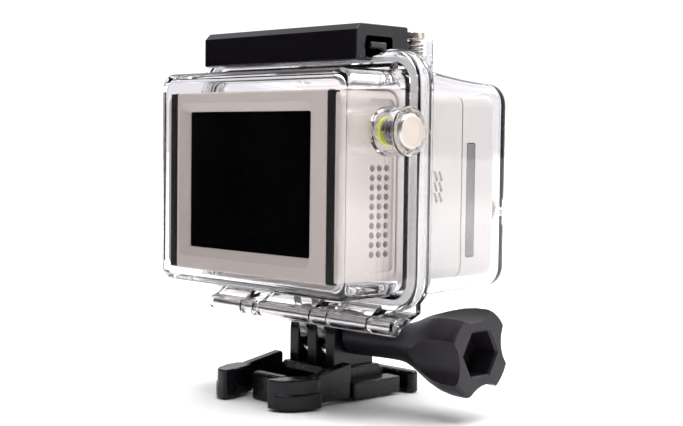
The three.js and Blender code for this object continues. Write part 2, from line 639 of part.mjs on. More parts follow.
function moduleBezel() {
  const { side, bottom, top, rear, corner } = SCREEN
  const plate = prism('y', roundedRect([-side, side], [bottom, top], corner), [rear - 2, rear])
  const through = block([WINDOW.right, WINDOW.left], [rear - 3, rear + 1], [WINDOW.bottom, WINDOW.top])
  const grooves = [[STRIP.inner - 0.1, STRIP.outer + 0.1], [-STRIP.outer - 0.1, -STRIP.inner + 0.1]].map((span) => (
    block(span, [rear - STRIP.depth, rear + 1], [SCREEN.bottom - 1, SCREEN.top + 1])
  ))
  return cut(plate, through, bevelledWindow(), ...grooves)
}

function moduleStrip(side) {
  const span = side > 0 ? [STRIP.inner, STRIP.outer] : [-STRIP.outer, -STRIP.inner]
  return block(span, [SCREEN.rear - STRIP.depth + 0.05, SCREEN.rear + 0.15], [SCREEN.bottom + 0.2, SCREEN.top - 0.2])
}

// ---------------------------------------------------------------- assembly

function buckle() {
  return group(
    piece('buckle_base', buckleBase(), charcoal()),
    piece('buckle_arm_left', buckleArm(1), charcoal()),
    piece('buckle_arm_right', buckleArm(-1), charcoal()),
    piece('captive_nut', captiveNut(), steel()),
    piece('thumb_screw', thumbScrew(), steel()),
    piece('thumb_knob', thumbKnob(), charcoal()),
  )
}

function housing() {
  const screws = portCorners().map(([x, z], i) => {
    const screw = piece(`port_screw_${i + 1}`, portScrew(), steel())
    screw.position.set(x, PORT.boss - 2.55, z)
    screw.rotation.x = Math.PI / 2
    return screw
  })
  const shutter = buttonSet('shutter', SHUTTER, steel(), rubber())
  shutter.position.set(SHUTTER.at[0], SHUTTER.at[1], 0)
  const mode = buttonSet('mode', MODE, steel(), rubber())
  mode.position.set(MODE.at[0], 0, MODE.at[1])
  mode.rotation.x = Math.PI / 2
  return group(
    piece('front_shell', frontShell(), clear()),
    piece('hinge_pin', hingePin(), steel()),
    piece('port_frame', portFrame(), charcoal()),
    piece('port_glass', portGlass(), clear()),
    ...screws,
    shutter,
    mode,
    piece('latch_lever_pin', latchPin(LEVER_AXIS, LUG[1] - 0.1), steel()),
    piece('latch_arm_pin', latchPin(ARM_AXIS, LEVER.side - 0.1), steel()),
    piece('latch_lever', latchLever(), gloss()),
    piece('latch_arm', latchArm(), gloss()),
  )
}

function door() {
  const side = buttonSet('side_button', SIDE, beige(), greenSeal())
  side.position.set(0, SIDE.at[0], SIDE.at[1])
  side.rotation.y = -Math.PI / 2
  return group(
    piece('rear_door', rearDoor(), clear()),
    piece('door_seal', doorSeal(), whiteSeal()),
    side,
  )
}

function camera() {
  const shutterKey = piece('camera_shutter_key', keyBody(SHUTTER), charcoal())
  shutterKey.position.set(SHUTTER.at[0], SHUTTER.at[1], 0)
  const modeKey = piece('camera_mode_key', keyBody(MODE), charcoal())
  modeKey.position.set(MODE.at[0], 0, MODE.at[1])
  modeKey.rotation.x = Math.PI / 2
  const barrel = piece('lens_barrel', lensBarrel(), black())
  const glass = piece('lens_glass', lensGlass(), black())
  for (const turnedPiece of [barrel, glass]) {
    turnedPiece.position.set(PORT.centre[0], 0, PORT.centre[1])
    turnedPiece.rotation.x = Math.PI / 2
  }
  return group(
    piece('camera_front_cover', cameraFrontCover(), beige()),
    piece('camera_rear_cover', cameraRearCover(), beige()),
    piece('side_slot_cover', slotCover(), charcoal()),
    piece('status_display', statusDisplay(), black()),
    piece('main_board', block([-26, 26], [-16, -14.6], [31.5, 69]), board()),
    piece('image_sensor', block([8, 18], [-18.2, -16.2], [47, 57]), black()),
    piece('battery', block([-8, 25], [-13.5, -1.5], [40, 66]), charcoal()),
    piece('memory_card', block([-25, -12], [-13.5, -11.8], [33, 48]), black()),
    shutterKey,
    modeKey,
    barrel,
    glass,
  )
}

function screenModule() {
  const key = piece('module_key', keyBody(SIDE), beige())
  key.position.set(0, SIDE.at[0], SIDE.at[1])
  key.rotation.y = -Math.PI / 2
  return group(
    piece('module_case', moduleCase(), beige()),
    piece('module_bezel', moduleBezel(), beige()),
    piece('module_strip_left', moduleStrip(1), rubber()),
    piece('module_strip_right', moduleStrip(-1), rubber()),
    piece('screen_glass', block([-20.4, 24.7], [16.7, 17.8], [33.5, 68.6]), black()),
    piece('display_panel', block([-20, 24.3], [14.4, 16.4], [33.9, 68.2]), steel()),
    piece('module_board', block([-20, 25], [11.6, 13], [32.5, 69]), board()),
    piece('module_speaker', rod('x', [10.3, 45.5], 4.2, [-27.4, -23.6]), charcoal()),
    piece('module_plug', block(wider(PLUG.x, -GAP), [-0.9, 8], wider(PLUG.z, -GAP)), black()),
    key,
  )
}

export default group(buckle(), housing(), door(), camera(), screenModule())
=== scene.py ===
"""An action camera with a screen module, in a clear dive housing on a quick-release buckle.

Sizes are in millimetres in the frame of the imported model, and become metres when a mesh is made.
Each piece of the object is built by its own function from lofted outlines that are joined and cut.
"""
import json
import math

import bmesh
import bpy
from mathutils import Matrix, Vector


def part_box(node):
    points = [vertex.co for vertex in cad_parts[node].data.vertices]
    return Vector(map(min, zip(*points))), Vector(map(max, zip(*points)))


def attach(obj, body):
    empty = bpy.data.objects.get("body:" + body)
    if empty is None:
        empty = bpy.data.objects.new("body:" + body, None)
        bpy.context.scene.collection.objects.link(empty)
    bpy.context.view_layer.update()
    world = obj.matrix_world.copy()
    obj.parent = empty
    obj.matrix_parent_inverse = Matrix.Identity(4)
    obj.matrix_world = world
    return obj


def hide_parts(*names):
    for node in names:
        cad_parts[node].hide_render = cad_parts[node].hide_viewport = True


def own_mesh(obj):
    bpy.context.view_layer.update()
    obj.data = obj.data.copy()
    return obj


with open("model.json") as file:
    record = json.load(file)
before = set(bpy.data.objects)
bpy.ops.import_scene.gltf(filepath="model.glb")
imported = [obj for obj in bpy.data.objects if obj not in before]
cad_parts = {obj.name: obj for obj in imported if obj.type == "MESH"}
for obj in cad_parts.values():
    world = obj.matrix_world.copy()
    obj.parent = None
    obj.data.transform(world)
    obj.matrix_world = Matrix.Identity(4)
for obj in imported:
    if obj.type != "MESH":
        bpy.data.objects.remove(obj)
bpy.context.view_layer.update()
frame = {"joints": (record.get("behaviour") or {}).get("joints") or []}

MM = 0.001
SCENE = bpy.context.scene


# ---------------------------------------------------------------- sizes from the frame

def box(node):
    """A CAD node's lowest and highest corners, in millimetres."""
    low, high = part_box(node)
    return Vector(low) / MM, Vector(high) / MM


def middle(node):
    low, high = box(node)
    return (low + high) / 2


def joint(name):
    return next(j for j in frame["joints"] if j["name"] == name)


def joint_axis(name):
    """The two coordinates of an X hinge's axis, (y, z) in millimetres."""
    _, y, z = joint(name)["pos_m"]
    return y / MM, z / MM


PIVOT = joint_axis("housing_tilt")
HINGE = joint_axis("door_swing")
LEVER_AXIS = joint_axis("latch_lever_lift")
ARM_AXIS = joint_axis("latch_arm_release")

SHELL_LOW, SHELL_HIGH = box("front_shell")
DOOR_LOW, DOOR_HIGH = box("rear_door")
SEAL_LOW, SEAL_HIGH = box("door_seal")
SIDE_OUT = SHELL_HIGH.x                                # the flanges' half width
FLANGE_Z = (SEAL_LOW.z - 1.3, SEAL_HIGH.z + 1.3)
MATE = DOOR_LOW.y - 0.3                                # rear face of the shell's flange
SHELL_FLANGE = (MATE - 2, MATE)
DOOR_FLANGE = (DOOR_LOW.y, DOOR_LOW.y + 3)
FLANGE_CORNER = 8
FRONT = SHELL_LOW.y + 6.5                              # front face of the shell, behind the port block
SHELL_WALL = 1.8
DOOR_WALL = 1.4

CAM_LOW, CAM_HIGH = box("camera_front_cover")
REAR_LOW, REAR_HIGH = box("camera_rear_cover")
MODULE_LOW, MODULE_HIGH = box("module_case")
BEZEL_LOW, BEZEL_HIGH = box("module_bezel")
PORT_LOW, PORT_HIGH = box("port_frame")
PORT = ((PORT_LOW.x + PORT_HIGH.x) / 2, (PORT_LOW.z + PORT_HIGH.z) / 2)
PORT_HALF = (PORT_HIGH.x - PORT_LOW.x) / 2
PORT_FACE = SHELL_LOW.y


# ---------------------------------------------------------------- outlines

def arc(centre, radius, start, end, steps):
    """Points on an arc, angles in degrees."""
    turns = [math.radians(start + (end - start) * i / steps) for i in range(steps + 1)]
    return [(centre[0] + radius * math.cos(t), centre[1] + radius * math.sin(t)) for t in turns]


def circle(centre, radius, sides=64):
    return arc(centre, radius, 0, 360, sides)[:-1]


def round_rect(u, v, r, steps=8):
    (u0, u1), (v0, v1) = u, v
    corners = [(u1 - r, v0 + r, -90), (u1 - r, v1 - r, 0), (u0 + r, v1 - r, 90), (u0 + r, v0 + r, 180)]
    return [p for cu, cv, start in corners for p in arc((cu, cv), r, start, start + 90, steps)]


def rounded(points, radii, steps=5):
    """The polygon with each corner turned into an arc. radii is one radius, or one for each corner."""
    out = []
    count = len(points)
    for i, corner in enumerate(points):
        radius = radii[i] if isinstance(radii, (list, tuple)) else radii
        here = Vector(corner)
        before = Vector(points[i - 1]) - here
        after = Vector(points[(i + 1) % count]) - here
        half = before.angle(after) / 2
        reach = radius / math.tan(half) if radius else 0
        reach = min(reach, 0.48 * before.length, 0.48 * after.length)
        if reach < 1e-4 or abs(half - math.pi / 2) < 1e-3:
            out.append(tuple(here))
            continue
        size = reach * math.tan(half)
        inward = (before.normalized() + after.normalized()).normalized()
        centre = here + inward * (size / math.sin(half))
        first = here + before.normalized() * reach - centre
        last = here + after.normalized() * reach - centre
        for k in range(steps + 1):
            out.append(tuple(centre + slerp(first, last, k / steps)))
    return out


def slerp(a, b, t):
    angle = a.angle(b)
    if angle < 1e-6:
        return a.copy()
    return (a * math.sin((1 - t) * angle) + b * math.sin(t * angle)) / math.sin(angle)


def inset(outline, distance):
    """The outline moved inwards, each corner along its bisector."""
    if distance == 0:
        return list(outline)
    area = sum(a[0] * b[1] - b[0] * a[1] for a, b in zip(outline, outline[1:] + outline[:1]))
    side = 1 if area > 0 else -1
    out = []
    for i, point in enumerate(outline):
        here = Vector(point)
        back = (here - Vector(outline[i - 1])).normalized()
        ahead = (Vector(outline[(i + 1) % len(outline)]) - here).normalized()
        normals = [Vector((-d.y, d.x)) * side for d in (back, ahead)]
        bisector = normals[0] + normals[1]
        if bisector.length < 1e-6:
            out.append(tuple(here))
            continue
        bisector.normalize()
        stretch = max(bisector.dot(normals[0]), 0.5)
        out.append(tuple(here + bisector * (distance / stretch)))
    return out


# ---------------------------------------------------------------- solids

def place(axis, point, height):
    """A point of an outline drawn in (y, z), (x, z) or (x, y), at a height along the axis that is left."""
    u, v = point
    return {"x": (height, u, v), "y": (u, height, v), "z": (u, v, height)}[axis]


def solid(vertices, faces):
    mesh = bpy.data.meshes.new("solid")
    mesh.from_pydata([Vector(v) * MM for v in vertices], [], faces)
    bm = bmesh.new()
    bm.from_mesh(mesh)
    bmesh.ops.recalc_face_normals(bm, faces=bm.faces)
    bm.to_mesh(mesh)
    bm.free()
    made = bpy.data.objects.new("solid", mesh)
    SCENE.collection.objects.link(made)
    return made


def loft(axis, rings):
    """A closed solid through rings, each an (outline, height), with the same number of points in all."""
    count = len(rings[0][0])
    vertices = [place(axis, p, height) for outline, height in rings for p in outline]
    faces = [tuple(range(count)), tuple(range(len(vertices) - 1, len(vertices) - count - 1, -1))]
    for k in range(len(rings) - 1):
        a, b = k * count, (k + 1) * count
        faces += [(a + i, b + i, b + (i + 1) % count, a + (i + 1) % count) for i in range(count)]
    return solid(vertices, faces)


def rim(outline, height, edge, way, steps=4):
    """Rings that round an end over: from the full outline, at edge before height, to height itself."""
    if edge == 0:
        return [(list(outline), height)]
    rings = []
    for k in range(steps + 1):
        t = math.radians(90 * k / steps)
        rings.append((inset(outline, edge * (1 - math.cos(t))), height - way * edge * (1 - math.sin(t))))
    return rings


def prism(axis, outline, span, edges=0.0):
    """An outline drawn out over a span, with its two ends rounded over by edges."""
    low, high = span
    first, last = edges if isinstance(edges, tuple) else (edges, edges)
    return loft(axis, rim(outline, low, first, -1)[::-1] + rim(outline, high, last, 1))


def rod(axis, centre, radius, span, edges=0.0, sides=64):
    return prism(axis, circle(centre, radius, sides), span, edges)


def block(x, y, z, edge=0.0):
    return prism("z", round_rect(x, y, max(edge, 0.02), 3), z, edge)


def hexagon(centre, flats):
    return circle(centre, flats / math.sqrt(3), 6)


def lathe(axis, centre, profile, sides=64, way=1):
    """A solid turned about an axis, from (radius, height) points that start and end on it."""
    vertices, rings = [], []
    for radius, height in profile:
        ring = [centre] if radius == 0 else circle(centre, radius, sides)
        rings.append(range(len(vertices), len(vertices) + len(ring)))
        vertices += [place(axis, p, way * height) for p in ring]
    faces = []
    for low, high in zip(rings, rings[1:]):
        for i in range(sides):
            j = (i + 1) % sides
            if len(low) == 1 and len(high) > 1:
                faces.append((low[0], high[i], high[j]))
            elif len(high) == 1 and len(low) > 1:
                faces.append((low[i], high[0], low[j]))
            elif len(low) > 1:
                faces.append((low[i], high[i], high[j], low[j]))
    return solid(vertices, faces)


def tube(points, radius, sides=10):
    """A round wire along points, with flat ends."""
    path = [Vector(p) for p in points]
    vertices, up = [], Vector((0.31, 0.17, 0.93))
    for i, here in enumerate(path):
        heading = (path[min(i + 1, len(path) - 1)] - path[max(i - 1, 0)]).normalized()
        up = (up - heading * up.dot(heading)).normalized()
        across = heading.cross(up)
        for k in range(sides):
            t = 2 * math.pi * k / sides
            vertices.append(here + (up * math.cos(t) + across * math.sin(t)) * radius)
    faces = [tuple(range(sides)), tuple(range(len(vertices) - 1, len(vertices) - sides - 1, -1))]
    for k in range(len(path) - 1):
        a, b = k * sides, (k + 1) * sides
        faces += [(a + i, b + i, b + (i + 1) % sides, a + (i + 1) % sides) for i in range(sides)]
    return solid(vertices, faces)


def settle(made):
    """Applies the modifiers of an object to its mesh."""
    bpy.context.view_layer.update()
    graph = bpy.context.evaluated_depsgraph_get()
    mesh = bpy.data.meshes.new_from_object(made.evaluated_get(graph))
    made.modifiers.clear()
    made.data = mesh
    return made


def combine(operation, first, others):
    for other in others:
        step = first.modifiers.new("step", "BOOLEAN")
        step.operation = operation
        step.solver = "MANIFOLD"
        step.object = other
    settle(first)
    for other in others:
        bpy.data.objects.remove(other)
    return first


def join(first, *others):
    return combine("UNION", first, others)


def cut(first, *others):
    return combine("DIFFERENCE", first, others)


def case(opened, closed, y_open, y_closed, corner, edge, ease=1.8):
    """A box along Y that narrows towards its rounded closed end. A size is (half width, bottom, top)."""
    way = 1 if y_closed > y_open else -1
    length = abs(y_closed - y_open)

    def outline(along, shrink):
        eased = 1 - (1 - along) ** ease
        side = opened[0] + (closed[0] - opened[0]) * along - shrink
        bottom = opened[1] + (closed[1] - opened[1]) * eased + shrink
        top = opened[2] + (closed[2] - opened[2]) * eased - shrink
        return round_rect((-side, side), (bottom, top), max(corner - 0.8 * shrink, 0.5))

    rings = []
    straight = 1 if opened == closed else 20
    for k in range(straight + 1):
        along = (1 - edge / length) * k / straight
        rings.append((outline(along, 0), y_open + way * length * along))
    for k in range(1, 7):
        t = math.radians(90 * k / 6)
        depth = length - edge * (1 - math.sin(t))
        rings.append((outline(depth / length, edge * (1 - math.cos(t))), y_open + way * depth))
    return loft("y", rings)


# ---------------------------------------------------------------- materials

def shader(name, color, roughness, metallic=0.0, **sockets):
    """A material with its Principled shader, and the nodes and links to build on."""
    made = bpy.data.materials.new(name)
    made.use_nodes = True
    nodes, links = made.node_tree.nodes, made.node_tree.links
    surface = nodes["Principled BSDF"]
    surface.inputs["Base Color"].default_value = (*color, 1)
    surface.inputs["Roughness"].default_value = roughness
    surface.inputs["Metallic"].default_value = metallic
    for socket, value in sockets.items():
        surface.inputs[socket.replace("_", " ")].default_value = value
    return made, nodes, links, surface


def noise(nodes, links, scale, detail=3.0, stretch=(1, 1, 1)):
    """Noise in the object's own space, in metres. scale is its lumps per millimetre."""
    place_in = nodes.new("ShaderNodeTexCoord")
    mapping = nodes.new("ShaderNodeMapping")
    mapping.inputs["Scale"].default_value = stretch
    texture = nodes.new("ShaderNodeTexNoise")
    texture.inputs["Scale"].default_value = scale / MM
    texture.inputs["Detail"].default_value = detail
    links.new(place_in.outputs["Object"], mapping.inputs["Vector"])
    links.new(mapping.outputs["Vector"], texture.inputs["Vector"])
    return texture.outputs["Fac"]


def spread(nodes, links, source, low, high):
    """The source's middle range stretched to low..high."""
    reach = nodes.new("ShaderNodeMapRange")
    reach.inputs["From Min"].default_value = 0.3
    reach.inputs["From Max"].default_value = 0.7
    reach.inputs["To Min"].default_value = low
    reach.inputs["To Max"].default_value = high
    links.new(source, reach.inputs["Value"])
    return reach.outputs["Result"]


def tinted(nodes, links, source, dark, light):
    ramp = nodes.new("ShaderNodeValToRGB")
    ramp.color_ramp.elements[0].position = 0.3
    ramp.color_ramp.elements[0].color = (*dark, 1)
    ramp.color_ramp.elements[1].position = 0.7
    ramp.color_ramp.elements[1].color = (*light, 1)
    links.new(source, ramp.inputs["Fac"])
    return ramp.outputs["Color"]


def bump(nodes, links, surface, source, depth):
    """Relief of a depth given in millimetres."""
    relief = nodes.new("ShaderNodeBump")
    relief.inputs["Strength"].default_value = 1
    relief.inputs["Distance"].default_value = depth * MM
    links.new(source, relief.inputs["Height"])
    links.new(relief.outputs["Normal"], surface.inputs["Normal"])


def shade(color, factor):
    return tuple(c * factor for c in color)


def moulded(name, color, roughness, grain, depth, variation, **sockets):
    """Moulded plastic or paint: fine grain of a depth in millimetres, a little uneven in colour and gloss."""
    made, nodes, links, surface = shader(name, color, roughness, **sockets)
    broad = noise(nodes, links, 0.12, 2.0)
    fine = noise(nodes, links, grain, 2.0)
    tint = tinted(nodes, links, broad, shade(color, 1 - variation), shade(color, 1 + variation))
    links.new(tint, surface.inputs["Base Color"])
    worn = noise(nodes, links, 0.35, 4.0)
    links.new(spread(nodes, links, worn, roughness * 0.85, roughness * 1.15), surface.inputs["Roughness"])
    bump(nodes, links, surface, fine, depth)
    return made


def turned_metal(name, color, roughness, stretch=(1, 1, 12)):
    """Machined metal with fine tool lines."""
    made, nodes, links, surface = shader(name, color, roughness, 1.0)
    lines = noise(nodes, links, 0.9, 3.0, stretch)
    tint = tinted(nodes, links, lines, shade(color, 0.82), shade(color, 1.06))
    links.new(tint, surface.inputs["Base Color"])
    links.new(spread(nodes, links, lines, roughness * 0.7, roughness * 1.3), surface.inputs["Roughness"])
    bump(nodes, links, surface, lines, 0.006)
    return made


def clear_plastic(name, color, roughness):
    """Polished clear plastic. Lamps and soft light reach what is behind it."""
    made, nodes, links, surface = shader(name, color, roughness, IOR=1.5, Transmission_Weight=1.0)
    flow = noise(nodes, links, 0.05, 1.0)
    links.new(spread(nodes, links, flow, roughness * 0.5, roughness * 1.5), surface.inputs["Roughness"])
    bump(nodes, links, surface, flow, 0.05)
    through = nodes.new("ShaderNodeBsdfTransparent")
    through.inputs["Color"].default_value = (*(c ** 0.5 for c in color), 1)
    path = nodes.new("ShaderNodeLightPath")
    either = nodes.new("ShaderNodeMath")
    either.operation = "MAXIMUM"
    links.new(path.outputs["Is Shadow Ray"], either.inputs[0])
    links.new(path.outputs["Is Diffuse Ray"], either.inputs[1])
    mix = nodes.new("ShaderNodeMixShader")
    links.new(either.outputs[0], mix.inputs["Fac"])
    links.new(surface.outputs["BSDF"], mix.inputs[1])
    links.new(through.outputs["BSDF"], mix.inputs[2])
    links.new(mix.outputs["Shader"], nodes["Material Output"].inputs["Surface"])
    return made


def rimmed_disc(name, face, rim_color, radius):
    """A painted face, of a radius in millimetres, in a metal rim about the side button's axis."""
    made, nodes, links, surface = shader(name, face, 0.34)
    blur = 0.06
    where = nodes.new("ShaderNodeTexCoord")
    offset = nodes.new("ShaderNodeVectorMath")
    offset.operation = "SUBTRACT"
    offset.inputs[1].default_value = SIDE * MM
    flat = nodes.new("ShaderNodeVectorMath")
    flat.operation = "MULTIPLY"
    flat.inputs[1].default_value = (0, 1, 1)
    length = nodes.new("ShaderNodeVectorMath")
    length.operation = "LENGTH"
    beyond = nodes.new("ShaderNodeMapRange")
    beyond.inputs["From Min"].default_value = (radius - blur) * MM
    beyond.inputs["From Max"].default_value = (radius + blur) * MM
    links.new(where.outputs["Object"], offset.inputs[0])
    links.new(offset.outputs["Vector"], flat.inputs[0])
    links.new(flat.outputs["Vector"], length.inputs[0])
    links.new(length.outputs["Value"], beyond.inputs["Value"])
    ramp = nodes.new("ShaderNodeValToRGB")
    ramp.color_ramp.elements[0].color = (*face, 1)
    ramp.color_ramp.elements[1].color = (*rim_color, 1)
    links.new(beyond.outputs["Result"], ramp.inputs["Fac"])
    links.new(ramp.outputs["Color"], surface.inputs["Base Color"])
    links.new(beyond.outputs["Result"], surface.inputs["Metallic"])
    bump(nodes, links, surface, noise(nodes, links, 2.0, 2.0), 0.01)
    return made


SHUTTER = middle("shutter_plunger")
MODE = middle("mode_plunger")
SIDE = middle("side_button_plunger")
SHUTTER_AT = (SHUTTER.x, SHUTTER.y)
MODE_AT = (MODE.x, MODE.z)
SIDE_AT = (SIDE.y, SIDE.z)

MATERIAL = {
    "housing": clear_plastic("clear_polycarbonate", (0.965, 0.96, 0.975), 0.03),
    "window": clear_plastic("port_window_glass", (0.97, 0.98, 0.975), 0.01),
    "camera": moulded("camera_body_paint", (0.6, 0.565, 0.545), 0.45, 7.0, 0.008, 0.02,
                      Specular_IOR_Level=0.3),
    "module": moulded("module_body_paint", (0.575, 0.515, 0.475), 0.45, 7.0, 0.008, 0.02,
                      Specular_IOR_Level=0.3),
    "latch": moulded("latch_black_gloss", (0.006, 0.005, 0.008), 0.16, 1.2, 0.006, 0.1,
                     Specular_IOR_Level=0.35),
    "buckle": moulded("buckle_charcoal_plastic", (0.006, 0.005, 0.0075), 0.26, 3.0, 0.01, 0.12,
                      Specular_IOR_Level=0.28),
    "knob": moulded("knob_charcoal_plastic", (0.0145, 0.012, 0.0165), 0.4, 4.0, 0.02, 0.12,
                    Specular_IOR_Level=0.3),
    "trim": moulded("port_frame_plastic", (0.04, 0.04, 0.044), 0.45, 4.0, 0.012, 0.08),
    "dark": moulded("dark_plastic", (0.16, 0.15, 0.15), 0.5, 4.0, 0.012, 0.08),
    "rubber": moulded("black_strip_rubber", (0.008, 0.008, 0.009), 0.42, 2.5, 0.02, 0.15),
    "seal": moulded("white_seal_silicone", (0.93, 0.925, 0.92), 0.4, 1.5, 0.01, 0.03,
                    Transmission_Weight=0.45),
    "green": moulded("yellow_green_seal", (0.62, 0.66, 0.04), 0.4, 1.5, 0.01, 0.05),
    "screen": moulded("screen_black_glass", (0.0008, 0.0008, 0.001), 0.08, 0.3, 0.0, 0.1,
                      Specular_IOR_Level=0.02),
    "lens": moulded("lens_barrel_black", (0.012, 0.012, 0.014), 0.35, 2.0, 0.01, 0.1),
    "coating": moulded("lens_coated_glass", (0.004, 0.003, 0.014), 0.03, 0.2, 0.0, 0.2, Coat_Weight=1.0),
    "board": moulded("circuit_board", (0.01, 0.07, 0.03), 0.4, 1.0, 0.02, 0.3),
    "pack": moulded("battery_label", (0.1, 0.1, 0.11), 0.5, 1.0, 0.01, 0.2),
    "steel": turned_metal("stainless_steel", (0.6, 0.58, 0.56), 0.28),
    # Painted lighter: a paler copy of the screws' stainless steel, so that the pins do not look dark.
    "pin": turned_metal("pin_steel_painted_paler", (0.93, 0.92, 0.93), 0.36),
    "coil": turned_metal("spring_steel", (0.25, 0.24, 0.24), 0.3, (1, 1, 1)),
    "cap": turned_metal("button_cap_metal", (0.68, 0.63, 0.58), 0.3, (1, 1, 6)),
    "disc": rimmed_disc("side_button_disc", (0.62, 0.54, 0.47), (0.6, 0.58, 0.56), 3.3),
}


def piece(name, made, material, body, slot, *nodes, sharp=34):
    """Names a finished solid, shades it, and lets it stand for CAD nodes on their body."""
    made.name = name
    made.data.name = name
    bm = bmesh.new()
    bm.from_mesh(made.data)
    bmesh.ops.remove_doubles(bm, verts=bm.verts, dist=0.002 * MM)
    bmesh.ops.dissolve_degenerate(bm, dist=0.001 * MM, edges=bm.edges)
    bm.to_mesh(made.data)
    bm.free()
    made.data.materials.clear()
    made.data.materials.append(MATERIAL[material])
    made.data.polygons.foreach_set("use_smooth", [True] * len(made.data.polygons))
    made.data.set_sharp_from_angle(angle=math.radians(sharp))
    weighted = made.modifiers.new("weighted", "WEIGHTED_NORMAL")
    weighted.keep_sharp = True
    settle(made)
    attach(made, body)
    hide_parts(*nodes)
    return made


# ---------------------------------------------------------------- clear housing

SHELL_OPEN = (34, 25.4, 78.3)
SHELL_CLOSED = (32.5, 26.4, 74.7)
DOOR_SIZE = (32.5, 26.5, DOOR_HIGH.z - 6)
DOOR_INSIDE = (30.6, 28.3, DOOR_HIGH.z - 7.8)
SHELL_KNUCKLES = ((10.9, 14.9), (-14.9, -9.5), (-35, -28))
DOOR_KNUCKLES = ((15.2, 27), (-9.2, 9.2), (-27.7, -15.2))
BARREL = 2                                             # radius of the hinge knuckles
PIN = 0.95
LATCH_PIN = 0.75
RUNNING = 0.1                                          # clearance of a pin or stem in its bore
GAP = 0.3                                              # clearance between parts that fold together
LUGS = ((10.4, 13), (-13, -10.4))
LEVER_ROUND = 1.5
LEVER_THICK = 1.4
CHEEK = 2                                              # width of the lever's two side bars
LIP = 27.4                                             # half width of the lip that the latch holds
FINGERS = (3.15, -3.15)
FINGER = 6.4
EYE_BORE = 2.65
STEM = 1.1                                             # radius of the button stems
SCREW_HOLE = 0.9                                       # radius of the port screws' holes
PLUG_GAP = ((4, 20), (0, 10), (33, 38))                # where the module's plug enters the camera


def grown(size, by):
    return size[0] + by, size[1] - by, size[2] + by


def flange_outline(by=0.0):
    bottom, top = FLANGE_Z
    return round_rect((-SIDE_OUT - by, SIDE_OUT + by), (bottom - by, top + by), FLANGE_CORNER + by, 16)


def eye(x, thickness):
    """One of the clear fingers that the thumb screw passes through."""
    span = (x - thickness / 2, x + thickness / 2)
    y, z = PIVOT
    root = [(y - FINGER, z), (y + FINGER, z), (1.4, 22.9), (1.4, 26), (-20, 26.9), (-15, 22.4)]
    web = prism("x", rounded(root, [0, 0, 0.3, 0, 0, 3], 6), span, 0.3)
    return join(rod("x", PIVOT, FINGER, span, 0.35), web)


def knuckle(arm, span):
    return join(prism("x", rounded(arm, 0.4), span, 0.3), rod("x", HINGE, BARREL, span, 0.3))


def shell_knuckle(span):
    y, z = HINGE
    arm = [(-0.2, 26), (-0.2, 22.9), (y - 0.9, z - 0.9), (y, z), (y, z + 1.9), (1.5, 22.9), (1.5, 26)]
    return knuckle(arm, span)


def door_knuckle(span):
    y, z = HINGE
    arm = [(2.2, 26), (2.2, 23.4), (y - 1.5, z + 0.2), (y, z), (y + 1.7, z + 0.8), (4.8, 24.6), (4.8, 26)]
    return knuckle(arm, span)


def latch_lug(span):
    y, z = LEVER_AXIS
    root = [(y - 3, 75.4), (y + 3, 75.4), (y + LEVER_ROUND, z), (y - LEVER_ROUND, z)]
    return join(prism("x", root, span, 0.3), rod("x", LEVER_AXIS, LEVER_ROUND, span, 0.3))


def port_corners():
    reach = PORT_HALF - 3
    return [(PORT[0] + i * reach, PORT[1] + k * reach) for k in (-1, 1) for i in (-1, 1)]


def square_about(centre, half, corner):
    return round_rect((centre[0] - half, centre[0] + half), (centre[1] - half, centre[1] + half), corner)


def front_shell():
    outer = case(SHELL_OPEN, SHELL_CLOSED, MATE - 1, FRONT, 5, 2.6)
    inner_open, inner_closed = grown(SHELL_OPEN, -SHELL_WALL), grown(SHELL_CLOSED, -SHELL_WALL)
    cavity = case(inner_open, inner_closed, MATE + 1, FRONT + SHELL_WALL, 3.2, 1.4)
    flange = prism("y", flange_outline(), SHELL_FLANGE, (0.8, 0.25))
    port = prism("y", square_about(PORT, PORT_HALF, 4), (PORT_FACE, FRONT + 1), (0.5, 0))
    roof, shutter_seat, mode_seat = 75.2, 78.4, FRONT - 1.2
    shutter_boss = rod("z", SHUTTER_AT, 3.6, (roof, 80.9), (0, 0.4))
    mode_boss = rod("y", MODE_AT, 4.8, (FRONT - 3.6, FRONT + 1), (0.5, 0))
    body = cut(join(outer, flange, port, shutter_boss, mode_boss), cavity)
    guard = rod("z", (-27.4, SHUTTER.y), 0.75, (roof, 84), (0, 0.4), 32)
    fingers = [eye(x, 2.7) for x in FINGERS]
    knuckles = [shell_knuckle(span) for span in SHELL_KNUCKLES]
    lugs = [latch_lug(span) for span in LUGS]
    body = join(body, guard, *fingers, *knuckles, *lugs)
    body = cut(
        body,
        rod("z", SHUTTER_AT, STEM + RUNNING, (70, 90)),
        rod("z", SHUTTER_AT, 2.7, (shutter_seat, 90)),
        rod("y", MODE_AT, STEM + RUNNING, (-50, -25)),
        rod("y", MODE_AT, 3.4, (-50, mode_seat)),
        rod("y", PORT, 11.2, (-50, -30), 0, 96),
        rod("x", PIVOT, EYE_BORE, (-20, 20)),
        rod("x", HINGE, PIN + RUNNING, (-40, 40)),
        rod("x", LEVER_AXIS, LATCH_PIN + RUNNING, (-20, 20)),
        *(rod("y", at, SCREW_HOLE, (-50, -34.5), 0, 24) for at in port_corners()),
    )
    return piece("housing_front", body, "housing", "housing", "clear_plastic", "front_shell")


